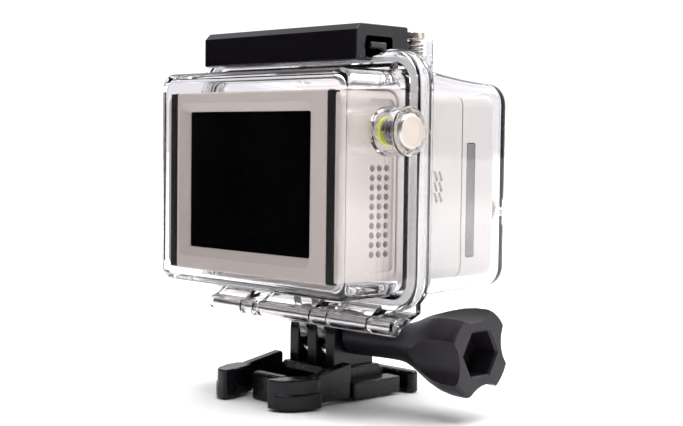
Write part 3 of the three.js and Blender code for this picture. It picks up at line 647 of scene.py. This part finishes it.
def rear_door():
    rear = DOOR_HIGH.y
    outer = case(DOOR_SIZE, DOOR_SIZE, DOOR_FLANGE[1] - 1, rear, 3.5, 2.4)
    cavity = case(DOOR_INSIDE, DOOR_INSIDE, DOOR_FLANGE[0] - 1, rear - DOOR_WALL, 2.5, 0.8)
    flange = prism("y", flange_outline(), DOOR_FLANGE, (0.25, 1.3))
    barrel = rod("x", SIDE_AT, 5.4, (-39.4, -31), (0.5, 0))
    top = DOOR_HIGH.z
    ledge = rounded([(3.9, 79), (4.8, 79), (5.3, 80.8), (9.2, 80.8), (9.2, top), (3.9, top)],
                    [0, 0, 0.4, 0.3, 0.4, 0.5])
    body = cut(join(outer, flange, barrel), cavity)
    knuckles = [door_knuckle(span) for span in DOOR_KNUCKLES]
    body = join(body, prism("x", ledge, (-LIP, LIP), 0.4), *knuckles)
    front = DOOR_FLANGE[0]
    room = DOOR_INSIDE[0] - 0.1
    swing_room = [(front - 1, 27.1), (front, 27.1), (front + 1.9, 28.4), (front + 1.9, 30), (front - 1, 30)]
    body = cut(
        body,
        prism("x", swing_room, (-room, room)),
        seal_ring(0.1, (DOOR_FLANGE[0] - 1, SEAL_HIGH.y + 0.1), 0),
        rod("x", SIDE_AT, STEM + RUNNING, (-60, -20)),
        rod("x", SIDE_AT, 4.15, (-60, -32.9)),
        rod("x", SIDE_AT, 2.4, (-31.5, -29)),
        rod("x", HINGE, PIN + RUNNING, (-40, 40)),
    )
    return piece("housing_door", body, "housing", "rear_door", "clear_plastic", "rear_door")


def seal_ring(by, span, edge):
    """The ring between the two flanges, made wider by a margin for its groove."""
    low, high = SEAL_LOW, SEAL_HIGH
    across, upright = 1.6 + by, 1.04 + by
    outer = round_rect((low.x - by, high.x + by), (low.z - by, high.z + by), 6.5 + by, 12)
    inner = round_rect((low.x + across, high.x - across), (low.z + upright, high.z - upright), 5.2, 12)
    return cut(prism("y", outer, span, edge), prism("y", inner, (span[0] - 1, span[1] + 1)))


def door_seal():
    made = seal_ring(0, (SEAL_LOW.y, SEAL_HIGH.y), 0.2)
    return piece("housing_seal", made, "seal", "rear_door", "white_rubber", "door_seal")


def pin(name, node, axis, body, radius):
    low, high = box(node)
    made = rod("x", axis, radius, (low.x, high.x), 0.25, 40)
    # The pins take the painted-lighter copy of the steel.
    return piece(name, made, "pin", body, "steel", node)


# ---------------------------------------------------------------- lens port

def port_frame():
    low, high = PORT_LOW, PORT_HIGH
    mouth = [(0, low.y - 1), (13.4, low.y - 1), (13.4, low.y), (11.7, low.y + 0.9), (0, low.y + 0.9)]
    made = cut(
        prism("y", square_about(PORT, PORT_HALF, 4), (low.y, high.y), (0.5, 0.2)),
        prism("y", circle(PORT, 11.9, 128), (low.y - 1, high.y + 1)),
        lathe("y", PORT, mouth, 128),
        rod("y", PORT, 12.9, (high.y - 1.6, high.y + 1), 0, 128),
        *(rod("y", at, SCREW_HOLE, (low.y - 1, high.y + 1), 0, 24) for at in port_corners()),
        *(rod("y", at, 1.75, (low.y - 1, high.y - 1.6), 0, 48) for at in port_corners()),
    )
    return piece("lens_port_frame", made, "trim", "housing", "port_trim", "port_frame")


def port_window():
    low, high = box("port_glass")
    made = rod("y", PORT, 12.6, (low.y, high.y), 0.25, 128)
    return piece("lens_port_window", made, "window", "housing", "clear_plastic", "port_glass")


def port_screw(number, at):
    node = f"port_screw_{number}"
    low, high = box(node)
    under = low.y + 0.8
    profile = [(0, low.y), (1.1, low.y), (1.4, low.y + 0.15), (1.5, low.y + 0.4), (1.5, under), (0.8, under),
               (0.8, high.y - 0.4), (0.5, high.y), (0, high.y)]
    made = cut(lathe("y", at, profile, 40), prism("y", hexagon(at, 1.4), (low.y - 1, low.y + 0.5)))
    return piece(f"lens_port_screw_{number}", made, "steel", "housing", "steel", node)


# ---------------------------------------------------------------- latch

def latch_arm():
    low, high = box("latch_arm")
    front, rear, top, bottom = -3.9, high.y, high.z, low.z
    underside, roof, hook_top = 81.2, 83.5, 79.4
    section = [(rear, bottom), (rear, top - 1.5), (rear - 1.5, top), (front, top), (front, underside),
               (1.4, underside), (1.4, roof), (9.4, roof), (9.4, hook_top), (7.4, hook_top), (7.4, bottom)]
    radii = [0.5, 0.4, 0.5, 0.6, 0.4, 0.3, 0.5, 0.5, 0.4, 0.3, 0.5]
    bar = prism("x", rounded(section, radii), (low.x, high.x), 0.3)
    y, z = ARM_AXIS
    neck = [(y - 0.7, z + 1.3), (y + 1.1, z - 1), (front + 0.4, 81.5), (front + 0.4, 83.2)]
    lever_high = box("latch_lever")[1]
    half = lever_high.x - CHEEK - GAP
    span = (-half, half)
    tongue = join(prism("x", neck, span, 0.2), rod("x", ARM_AXIS, LEVER_ROUND, span, 0.2))
    room = lever_high.x + GAP
    pocket = block((-room, room), (-9, lever_high.y + GAP), (top - LEVER_THICK - GAP, top + 1), 0.3)
    made = cut(join(bar, tongue), pocket, rod("x", ARM_AXIS, LATCH_PIN + RUNNING, (-20, 20)))
    return piece("latch_hook_bar", made, "latch", "latch_arm", "black_gloss", "latch_arm")


def latch_lever():
    high = box("latch_lever")[1]
    y, z = LEVER_AXIS
    top, side = high.z, high.x
    plate = [(y, top - LEVER_THICK), (high.y, top - LEVER_THICK), (high.y, top), (y, top)]
    parts = [rod("x", LEVER_AXIS, LEVER_ROUND, (-side, side), 0.3)]
    front, rear = y - LEVER_ROUND, y + LEVER_ROUND
    for cheek in ((side - CHEEK, side), (-side, CHEEK - side)):
        bar = prism("x", [(front, ARM_AXIS[1]), (rear, ARM_AXIS[1]), (rear, z), (front, z)], cheek, 0.2)
        parts += [bar, rod("x", ARM_AXIS, LEVER_ROUND, cheek, 0.2)]
    ridge_span = (1.2 - side, side - 1.2)
    ridges = [rod("x", (high.y - 1 - k * 1.1, top + 0.22), 0.4, ridge_span, 0.1, 24) for k in range(4)]
    body = join(prism("x", rounded(plate, [0, 0.4, 0.5, 0]), (-side, side), 0.3), *parts)
    bores = [rod("x", axis, LATCH_PIN + RUNNING, (-20, 20)) for axis in (LEVER_AXIS, ARM_AXIS)]
    made = cut(body, *ridges, *bores)
    return piece("latch_lever_flap", made, "latch", "latch_lever", "black_gloss", "latch_lever")


# ---------------------------------------------------------------- buttons

BUTTONS = {
    # name: (axis, way, position across it, cap radius, wire's radius about the stem, finishes)
    "shutter": ("z", 1, SHUTTER_AT, 2.5, 2.0, "cap", "rubber", "button_metal", "black_rubber"),
    "mode": ("y", -1, MODE_AT, 4.0, 2.6, "cap", "rubber", "button_metal", "black_rubber"),
    "side_button": ("x", -1, SIDE_AT, 3.8, 2.7, "disc", "green", "button_disc", "green_rubber"),
}
HOME = {"shutter": ("shutter_button", "housing"), "mode": ("mode_button", "housing"),
        "side_button": ("side_button", "rear_door")}


def heights(node, axis, way):
    """A node's inner and outer ends along a button's own axis, outwards."""
    low, high = box(node)
    index = "xyz".index(axis)
    return sorted((way * low[index], way * high[index]))


def button(name):
    axis, way, at, radius, coil, cap, gasket, cap_slot, gasket_slot = BUTTONS[name]
    moving, fixed = HOME[name]
    inner, outer = heights(f"{name}_plunger", axis, way)
    under = outer - (2 if name == "shutter" else 1.6)
    profile = [(0, inner), (STEM - 0.2, inner), (STEM, inner + 0.2), (STEM, under), (radius - 0.3, under),
               (radius, under + 0.3), (radius, outer - 0.45), (radius - 0.12, outer - 0.18),
               (radius - 0.4, outer), (radius - 0.7, outer - 0.04), (radius - 0.95, outer - 0.22),
               (0, outer - 0.3)]
    plunger = lathe(axis, at, profile, 72, way)
    piece(f"{name}_plunger_cap", plunger, cap, moving, cap_slot, f"{name}_plunger")
    button_spring(name, axis, way, at, coil, fixed)
    span = sorted(way * height for height in heights(f"{name}_seal", axis, way))
    hole = rod(axis, at, STEM + 0.15, (span[0] - 1, span[1] + 1))
    made = cut(rod(axis, at, coil + 0.5, span, 0.35), hole)
    piece(f"{name}_ring_seal", made, gasket, fixed, gasket_slot, f"{name}_seal")


def button_spring(name, axis, way, at, radius, body):
    """A coil about the stem, wound at an even pitch from its inner end to its outer end."""
    low, high = heights(f"{name}_spring", axis, way)
    turns, wire, steps = 4.5, 0.3, 126
    path = []
    for i in range(steps + 1):
        t = i / steps
        angle = 2 * math.pi * turns * t
        across = (at[0] + radius * math.cos(angle), at[1] + radius * math.sin(angle))
        path.append(place(axis, across, way * (low + wire + (high - low - 2 * wire) * t)))
    coil = piece(f"{name}_coil", tube(path, wire), "coil", body, "spring_steel", f"{name}_spring")
    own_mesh(coil)


# ---------------------------------------------------------------- camera

SLOT_LOW, SLOT_HIGH = box("side_slot_cover")
CAMERA_WALL = 1.8


def box_outline(low, high, corner, by):
    """The outline of a case across Y, moved inwards."""
    return round_rect((low.x + by, high.x - by), (low.z + by, high.z - by), max(corner - by, 1))


def camera_outline(by=0.0):
    return box_outline(CAM_LOW, CAM_HIGH, 3.5, by)


def camera_front():
    size = (CAM_HIGH.x, CAM_LOW.z, CAM_HIGH.z)
    outer = case(size, size, CAM_HIGH.y, CAM_LOW.y, 3.5, 1.8)
    low, high = box("status_display")
    slot = round_rect((SLOT_LOW.y - 0.2, SLOT_HIGH.y + 0.2), (SLOT_LOW.z - 0.25, SLOT_HIGH.z + 0.25), 0.5)
    made = cut(
        outer,
        prism("y", camera_outline(CAMERA_WALL), (CAM_LOW.y + CAMERA_WALL, 0)),
        prism("x", slot, (CAM_LOW.x - 1, CAM_LOW.x + 0.9)),
        block((low.x - 0.2, high.x + 0.2), (CAM_LOW.y - 1, high.y + 0.2), (low.z - 0.2, high.z + 0.2), 0.3),
        rod("y", PORT, 9.7, (-40, -20), 0, 96),
        rod("y", MODE_AT, 2.6, (-40, -20)),
    )
    return piece("camera_front_half", made, "camera", "housing", "camera_beige", "camera_front_cover")


def camera_rear():
    outer = prism("y", camera_outline(), (REAR_LOW.y, REAR_HIGH.y), (0.15, 0.4))
    lean = Matrix.Rotation(-math.pi / 7, 4, "X")
    outline = round_rect((-0.42, 0.42), (-1.25, 1.25), 0.4, 4)
    slits = []
    for z in (48.2, 50.6, 53):
        for y in (-10.3, -8.7):
            slit = prism("x", outline, (REAR_LOW.x - 1, REAR_LOW.x + 0.6))
            slit.data.transform(Matrix.Translation(Vector((0, y, z)) * MM) @ lean)
            slits.append(slit)
    made = cut(
        outer,
        prism("y", camera_outline(CAMERA_WALL), (REAR_LOW.y - 1, REAR_HIGH.y - CAMERA_WALL)),
        *slits,
        rod("z", SHUTTER_AT, 2.7, (60, 90)),
        block(*PLUG_GAP),
    )
    return piece("camera_rear_half", made, "camera", "housing", "camera_beige", "camera_rear_cover")


def lens():
    front, rear = (corner.y for corner in box("lens_barrel"))
    profile = [(0, rear), (9.2, rear), (9.4, rear - 0.2), (9.4, front + 0.5), (9.1, front), (8.6, front)]
    for k in range(5):
        profile += [(8.4 - k * 0.25, front + 0.4 + k * 0.55), (8.35 - k * 0.25, front + 0.9 + k * 0.55)]
    profile += [(7.2, front + 5.1), (0, front + 5.1)]
    piece("lens_barrel_ring", lathe("y", PORT, profile, 96), "lens", "housing", "lens_black", "lens_barrel")
    low, high = box("lens_glass")
    turns = [math.radians(5 * k) for k in range(19)]
    dome = [(6.9 * math.sin(t), low.y + 1.9 * (1 - math.cos(t))) for t in turns]
    glass = lathe("y", PORT, [*dome, (6.9, high.y - 0.2), (6.7, high.y), (0, high.y)], 96)
    piece("lens_front_element", glass, "coating", "housing", "lens_coating", "lens_glass")


def key(node, name, axis, material, body, slot):
    low, high = box(node)
    index = "xyz".index(axis)
    across = [(low[i] + high[i]) / 2 for i in range(3) if i != index]
    radius = max((high[i] - low[i]) / 2 for i in range(3) if i != index)
    made = rod(axis, across, radius, (low[index], high[index]), 0.3, 48)
    return piece(name, made, material, body, slot, node)


# ---------------------------------------------------------------- screen module

SCREEN_LOW, SCREEN_HIGH = box("screen_glass")
WINDOW_X = (SCREEN_LOW.x + 1.4, SCREEN_HIGH.x - 1.4)
WINDOW_Z = (SCREEN_LOW.z + 1.4, SCREEN_HIGH.z - 1.4)


def module_outline(by=0.0):
    return box_outline(MODULE_LOW, MODULE_HIGH, 3, by)


def module_case():
    low, high = MODULE_LOW, MODULE_HIGH
    first, pitch = (6.75, 36.2), (2.2, 2.08)
    places = [(first[0] + pitch[0] * i, first[1] + pitch[1] * k) for i in range(3) for k in range(10)]
    grille = [rod("x", at, 0.76, (low.x - 1, low.x + 3), 0, 20) for at in places]
    panel = round_rect((5, 13.1), (32.3, 69.9), 1.4)
    made = cut(
        prism("y", module_outline(), (low.y, high.y), (0.5, 0.1)),
        prism("y", module_outline(2.2), (low.y + 1.6, high.y + 1)),
        prism("x", panel, (low.x - 1, low.x + 0.5)),
        *grille,
        rod("x", SIDE_AT, 2.0, (-40, -20)),
        block(*PLUG_GAP),
    )
    return piece("screen_module_case", made, "module", "housing", "module_beige", "module_case")


def module_bezel():
    low, high = BEZEL_LOW, BEZEL_HIGH
    bevel = 2
    narrow = round_rect(WINDOW_X, WINDOW_Z, 0.5, 4)
    wide_x, wide_z = ((first - bevel, last + bevel) for first, last in (WINDOW_X, WINDOW_Z))
    wide = round_rect(wide_x, wide_z, 1.6, 4)
    opening = [(narrow, low.y - 1), (narrow, low.y + 0.15), (wide, high.y - 0.05), (wide, high.y + 1)]
    strips = [box("module_strip_left"), box("module_strip_right")]
    depth, height = (high.y - 0.8, high.y + 1), (low.z - 1, high.z + 1)
    grooves = [block((a.x - 0.1, b.x + 0.1), depth, height) for a, b in strips]
    made = cut(prism("y", module_outline(), (low.y, high.y), (0.05, 0.7)), loft("y", opening), *grooves)
    return piece("screen_module_bezel", made, "module", "housing", "module_beige", "module_bezel")


def plain_block(name, node, material, slot, edge=0.2):
    low, high = box(node)
    made = block((low.x, high.x), (low.y, high.y), (low.z, high.z), edge)
    return piece(name, made, material, "housing", slot, node)


# ---------------------------------------------------------------- thumb screw

def thumb_screw():
    low, high = box("thumb_screw")
    thread_start, pitch = -4, 0.8
    profile = [(0, low.x), (2.1, low.x), (2.4, low.x + 0.3), (2.4, thread_start)]
    for k in range(int((high.x - thread_start - 1) / pitch)):
        start = thread_start + k * pitch
        profile += [(2.36, start + 0.1), (2.0, start + 0.35), (2.0, start + 0.45), (2.36, start + 0.7)]
    profile += [(2.1, high.x - 0.5), (1.8, high.x), (0, high.x)]
    made = lathe("x", PIVOT, profile, 48)
    return piece("thumb_screw_shank", made, "steel", "thumb_screw", "steel", "thumb_screw", sharp=50)


def thumb_knob():
    """A turned grip whose wide end has four round scoops along it, so that four lobes are left."""
    low, high = box("thumb_knob")
    inner, outer = high.x, low.x
    end = inner - outer
    profile = [(0, 0), (4.5, 0), (4.85, 0.35), (4.8, 1.2), (4.6, 6), (4.4, 12), (4.4, 16), (4.75, 18.5),
               (5.75, 21.5), (7.3, 25), (8.6, 28), (9.55, 31), (10, 34), (10.05, end - 1.3), (9.9, end - 0.5),
               (9.45, end - 0.1), (9.1, end), (0, end)]
    body = lathe("x", PIVOT, [(radius, height - inner) for radius, height in profile], 144, -1)
    scoop, valley, scoop_start = 8, 7.05, inner - 19
    reach = valley + scoop
    scoops = []
    for k in range(4):
        t = math.radians(81 + 90 * k)
        centre = (PIVOT[0] + reach * math.cos(t), PIVOT[1] + reach * math.sin(t))
        scoops.append(rod("x", centre, scoop, (outer - 1, scoop_start), 0, 96))
    socket = hexagonal_socket(PIVOT, 9.5, outer - 1, outer + 6.5)
    made = cut(body, *scoops, socket, rod("x", PIVOT, 2.55, (outer, inner + 1)))
    return piece("thumb_knob_grip", made, "knob", "thumb_screw", "charcoal_plastic", "thumb_knob", sharp=34)


def hexagonal_socket(centre, flats, start, end):
    """A hexagonal socket, two flats level, that widens at its mouth."""
    narrow_from = start + 1.5
    wide = rounded(hexagon(centre, flats + 1.0), 0.6)
    narrow = rounded(hexagon(centre, flats), 0.4)
    return loft("x", [(wide, start), (wide, narrow_from - 0.55), (narrow, narrow_from), (narrow, end)])


# ---------------------------------------------------------------- buckle

PRONG = 6.6                                            # radius of the three prongs
PRONG_HALF = 1.5
PRONG_PITCH = 6.3


def prong(x):
    y, z = PIVOT
    shape = arc((y, z), PRONG, 0, 180, 32) + [(y - PRONG, 5), (y + PRONG, 5)]
    return prism("x", shape, (x - PRONG_HALF, x + PRONG_HALF), 0.3)


def buckle_base():
    low, high = box("buckle_base")
    tower = [(-15, 0), (2.2, 0), (2.2, 5.6), (0.6, 7.2), (-13.4, 7.2), (-15, 5.6)]
    rear = high.y
    spine = [(-19, 0), (rear, 0), (rear, 5.8), (rear - 0.6, 6.4), (rear - 2.6, 6.4), (10.5, 3.6), (-19, 3.6)]
    rail_y, rail_z = (-16.3, -0.6), (0.4, 4.4)
    body = join(
        prism("x", rounded(tower, [0.3, 0.3, 0.9, 0.9, 0.9, 0.9]), (-9.4, 9.4), 0.4),
        prism("x", rounded(spine, [0, 0.3, 0.9, 0.9, 0.9, 1, 0]), (-5, 5), 0.5),
        prism("z", round_rect((low.x, high.x), (low.y, -18.6), 1.6), (0, 5.2), (0.3, 0.9)),
        block((9.2, 14), rail_y, rail_z, 0.5),
        block((-14, -9.2), rail_y, rail_z, 0.5),
        block((-9.8, 9.8), (-19, -14.8), (0.6, 3.2), 0.3),
        *(prong(PRONG_PITCH * i) for i in (-1, 0, 1)),
    )
    nut = prism("x", hexagon(PIVOT, 8.3), (6.8, 11))
    made = cut(body, nut, rod("x", PIVOT, EYE_BORE, (-9, 11)))
    return piece("buckle_base_body", made, "buckle", "buckle", "charcoal_plastic", "buckle_base")


def buckle_arm(name, side):
    """A squeeze arm: a spring beam that widens into a finger pad, its upper half set in by 1 mm."""
    low, high = box(f"buckle_arm_{name}")

    def pad(set_in, span):
        plan = [(13.2, 9.6), (15.6 - set_in, 11.3), (15.2 - set_in, 14.6), (13.4 - set_in, 18.6),
                (10.6, 20.6), (7.2, high.y), (7.6, 17), (10.6, 9.6)]
        outline = rounded([(side * x, y) for x, y in plan], [0, 0.7, 4, 4, 3, 0.9, 4, 0], 6)
        return prism("z", outline, span, 0.4)

    beam = [(low.y, 0.8), (12, 0.8), (12, 6.9), (9, 7.5), (low.y, 9.2)]
    across = sorted((side * 10.6, side * 13.2))
    spring = prism("x", rounded(beam, [0.3, 0, 0, 2, 0.7]), across, 0.4)
    made = join(pad(0, (0.3, 3.7)), pad(1, (2.6, 7)), spring)
    node = f"buckle_arm_{name}"
    return piece(f"buckle_squeeze_arm_{name}", made, "buckle", node, "charcoal_plastic", node)


def captive_nut():
    low, high = box("captive_nut")
    made = cut(prism("x", hexagon(PIVOT, 8), (low.x, high.x), 0.25), rod("x", PIVOT, 2.5, (5, 12)))
    return piece("captive_hex_nut", made, "steel", "buckle", "steel", "captive_nut")


# ---------------------------------------------------------------- build the object

front_shell()
rear_door()
door_seal()
pin("door_hinge_pin", "hinge_pin", HINGE, "housing", PIN)
pin("lever_pivot_pin", "latch_lever_pin", LEVER_AXIS, "housing", LATCH_PIN)
pin("hook_pivot_pin", "latch_arm_pin", ARM_AXIS, "latch_lever", LATCH_PIN)
port_frame()
port_window()
for number, corner in enumerate(port_corners(), 1):
    port_screw(number, corner)
latch_arm()
latch_lever()
for button_name in BUTTONS:
    button(button_name)
camera_front()
camera_rear()
lens()
key("camera_shutter_key", "camera_shutter_button", "z", "dark", "camera_shutter_key", "dark_plastic")
key("camera_mode_key", "camera_mode_button", "y", "dark", "camera_mode_key", "dark_plastic")
key("module_key", "screen_module_button", "x", "module", "module_key", "module_beige")
module_case()
module_bezel()
for strip in ("module_strip_left", "module_strip_right"):
    plain_block(f"screen_{strip}", strip, "rubber", "black_rubber", 0.25)
for piece_name, cad_node, finish, record_slot in (
    ("camera_side_slot", "side_slot_cover", "dark", "dark_plastic"),
    ("camera_status_window", "status_display", "screen", "screen_black"),
    ("camera_main_board", "main_board", "board", "circuit_board"),
    ("camera_image_sensor", "image_sensor", "steel", "steel"),
    ("camera_battery", "battery", "pack", "dark_plastic"),
    ("camera_memory_card", "memory_card", "dark", "dark_plastic"),
    ("screen_cover_glass", "screen_glass", "screen", "screen_black"),
    ("screen_display_panel", "display_panel", "steel", "steel"),
    ("screen_module_board", "module_board", "board", "circuit_board"),
    ("screen_module_plug", "module_plug", "dark", "dark_plastic"),
):
    plain_block(piece_name, cad_node, finish, record_slot)
key("module_speaker", "screen_module_speaker", "x", "dark", "housing", "dark_plastic")
thumb_screw()
thumb_knob()
buckle_base()
buckle_arm("left", 1)
buckle_arm("right", -1)
captive_nut()


# ---------------------------------------------------------------- camera, light and floor

VIEWER = (-227.1, 211.7, 60.5)
VIEW_FORWARD = (0.7156, -0.6964, -0.0545)
VIEW_UPWARD = (0.0480, -0.0289, 0.9984)
AHEAD = (0.7166, -0.6975, 0)                           # level, away from the viewer
LOOK_AT = (0, 0, 0.05)                                 # where the lamps point, in metres


def add_camera():
    forward = Vector(VIEW_FORWARD).normalized()
    right = forward.cross(Vector(VIEW_UPWARD)).normalized()
    upward = right.cross(forward)
    data = bpy.data.cameras.new("camera")
    data.lens = 68.66
    data.sensor_width = 36
    data.clip_start = 0.01
    viewer = bpy.data.objects.new("camera", data)
    turn = Matrix((right, upward, -forward)).transposed()
    viewer.matrix_world = Matrix.Translation(Vector(VIEWER) * MM) @ turn.to_4x4()
    SCENE.collection.objects.link(viewer)
    SCENE.camera = viewer


def aimed(data, at, towards):
    """A new object at a place in metres, turned so that its own -Z points at another."""
    made = bpy.data.objects.new(data.name, data)
    made.location = at
    made.rotation_euler = (Vector(towards) - Vector(at)).to_track_quat("-Z", "Y").to_euler()
    SCENE.collection.objects.link(made)
    return made


def add_softbox(name, at, width, height, power):
    data = bpy.data.lights.new(name, "AREA")
    data.shape = "RECTANGLE"
    data.size = width
    data.size_y = height
    data.energy = power
    return aimed(data, at, LOOK_AT)


def add_world():
    """Pure white as the camera sees it. To everything else the room darkens towards the viewer's back."""
    world = bpy.data.worlds.new("studio")
    world.use_nodes = True
    nodes, links = world.node_tree.nodes, world.node_tree.links
    background = nodes["Background"]
    heading = nodes.new("ShaderNodeTexCoord")
    ahead = nodes.new("ShaderNodeVectorMath")
    ahead.operation = "DOT_PRODUCT"
    ahead.inputs[1].default_value = AHEAD
    links.new(heading.outputs["Generated"], ahead.inputs[0])
    ramp = nodes.new("ShaderNodeValToRGB")
    stops = ((0.0, 0.1), (0.42, 0.16), (0.66, 0.5), (0.84, 1.0))
    while len(ramp.color_ramp.elements) < len(stops):
        ramp.color_ramp.elements.new(0.5)
    for element, (position, tone) in zip(ramp.color_ramp.elements, stops):
        element.position = position
        element.color = (tone, tone * 0.985, tone * 1.02, 1)
    centred = nodes.new("ShaderNodeMapRange")
    centred.inputs["From Min"].default_value = -1
    links.new(ahead.outputs["Value"], centred.inputs["Value"])
    links.new(centred.outputs["Result"], ramp.inputs["Fac"])
    path = nodes.new("ShaderNodeLightPath")
    seen = nodes.new("ShaderNodeMix")
    seen.data_type = "RGBA"
    room, backdrop = [socket for socket in seen.inputs if socket.type == "RGBA"]
    backdrop.default_value = (1.2, 1.2, 1.2, 1)
    links.new(path.outputs["Is Camera Ray"], seen.inputs["Factor"])
    links.new(ramp.outputs["Color"], room)
    mixed = next(socket for socket in seen.outputs if socket.type == "RGBA")
    links.new(mixed, background.inputs["Color"])
    SCENE.world = world


def add_floor():
    """A pale round floor, just under the buckle, that glows more with distance and so meets the backdrop."""
    radius, sides, level = 6, 64, -0.0002
    mesh = bpy.data.meshes.new("floor")
    edge = [(x, y, level) for x, y in circle((0, 0), radius, sides)]
    mesh.from_pydata(edge, [], [tuple(range(sides))])
    floor = bpy.data.objects.new("floor", mesh)
    SCENE.collection.objects.link(floor)
    made, nodes, links, surface = shader("pale_floor", (0.93, 0.93, 0.93), 0.6, Specular_IOR_Level=0.2)
    surface.inputs["Emission Color"].default_value = (1, 1, 1, 1)
    heading = nodes.new("ShaderNodeTexCoord")
    distance = nodes.new("ShaderNodeVectorMath")
    distance.operation = "LENGTH"
    links.new(heading.outputs["Object"], distance.inputs[0])
    glow = nodes.new("ShaderNodeMapRange")
    glow.interpolation_type = "SMOOTHSTEP"
    glow.inputs["From Min"].default_value = 0.12
    glow.inputs["From Max"].default_value = 0.9
    links.new(distance.outputs["Value"], glow.inputs["Value"])
    links.new(glow.outputs["Result"], surface.inputs["Emission Strength"])
    mesh.materials.append(made)


def add_card(name, at, towards, width, height):
    """A black studio card, seen only in reflections and through the clear plastic."""
    mesh = bpy.data.meshes.new(name)
    w, h = width / 2, height / 2
    mesh.from_pydata([(-w, -h, 0), (w, -h, 0), (w, h, 0), (-w, h, 0)], [], [(0, 1, 2, 3)])
    card = aimed(mesh, at, towards)
    mesh.materials.append(shader(name, (0.003, 0.003, 0.003), 0.9, Specular_IOR_Level=0.0)[0])
    card.visible_camera = False
    card.visible_shadow = False
    card.visible_diffuse = False


add_camera()
add_world()
add_floor()
add_card("left_card", (0.42, 0.41, 0.3), (0, 0, 0.3), 0.62, 0.62)
add_card("left_floor_card", (0.27, 0.28, 0.001), (0.27, 0.28, 1), 0.4, 0.4)
add_softbox("overhead", (-0.1, -0.35, 0.9), 1.3, 1.0, 16)
add_softbox("right_side", (-0.75, -0.4, 0.4), 0.7, 0.6, 1.9)
add_softbox("above_screen", (0.05, 0.16, 0.95), 0.5, 0.3, 4.5)
SCENE.view_settings.view_transform = "Standard"
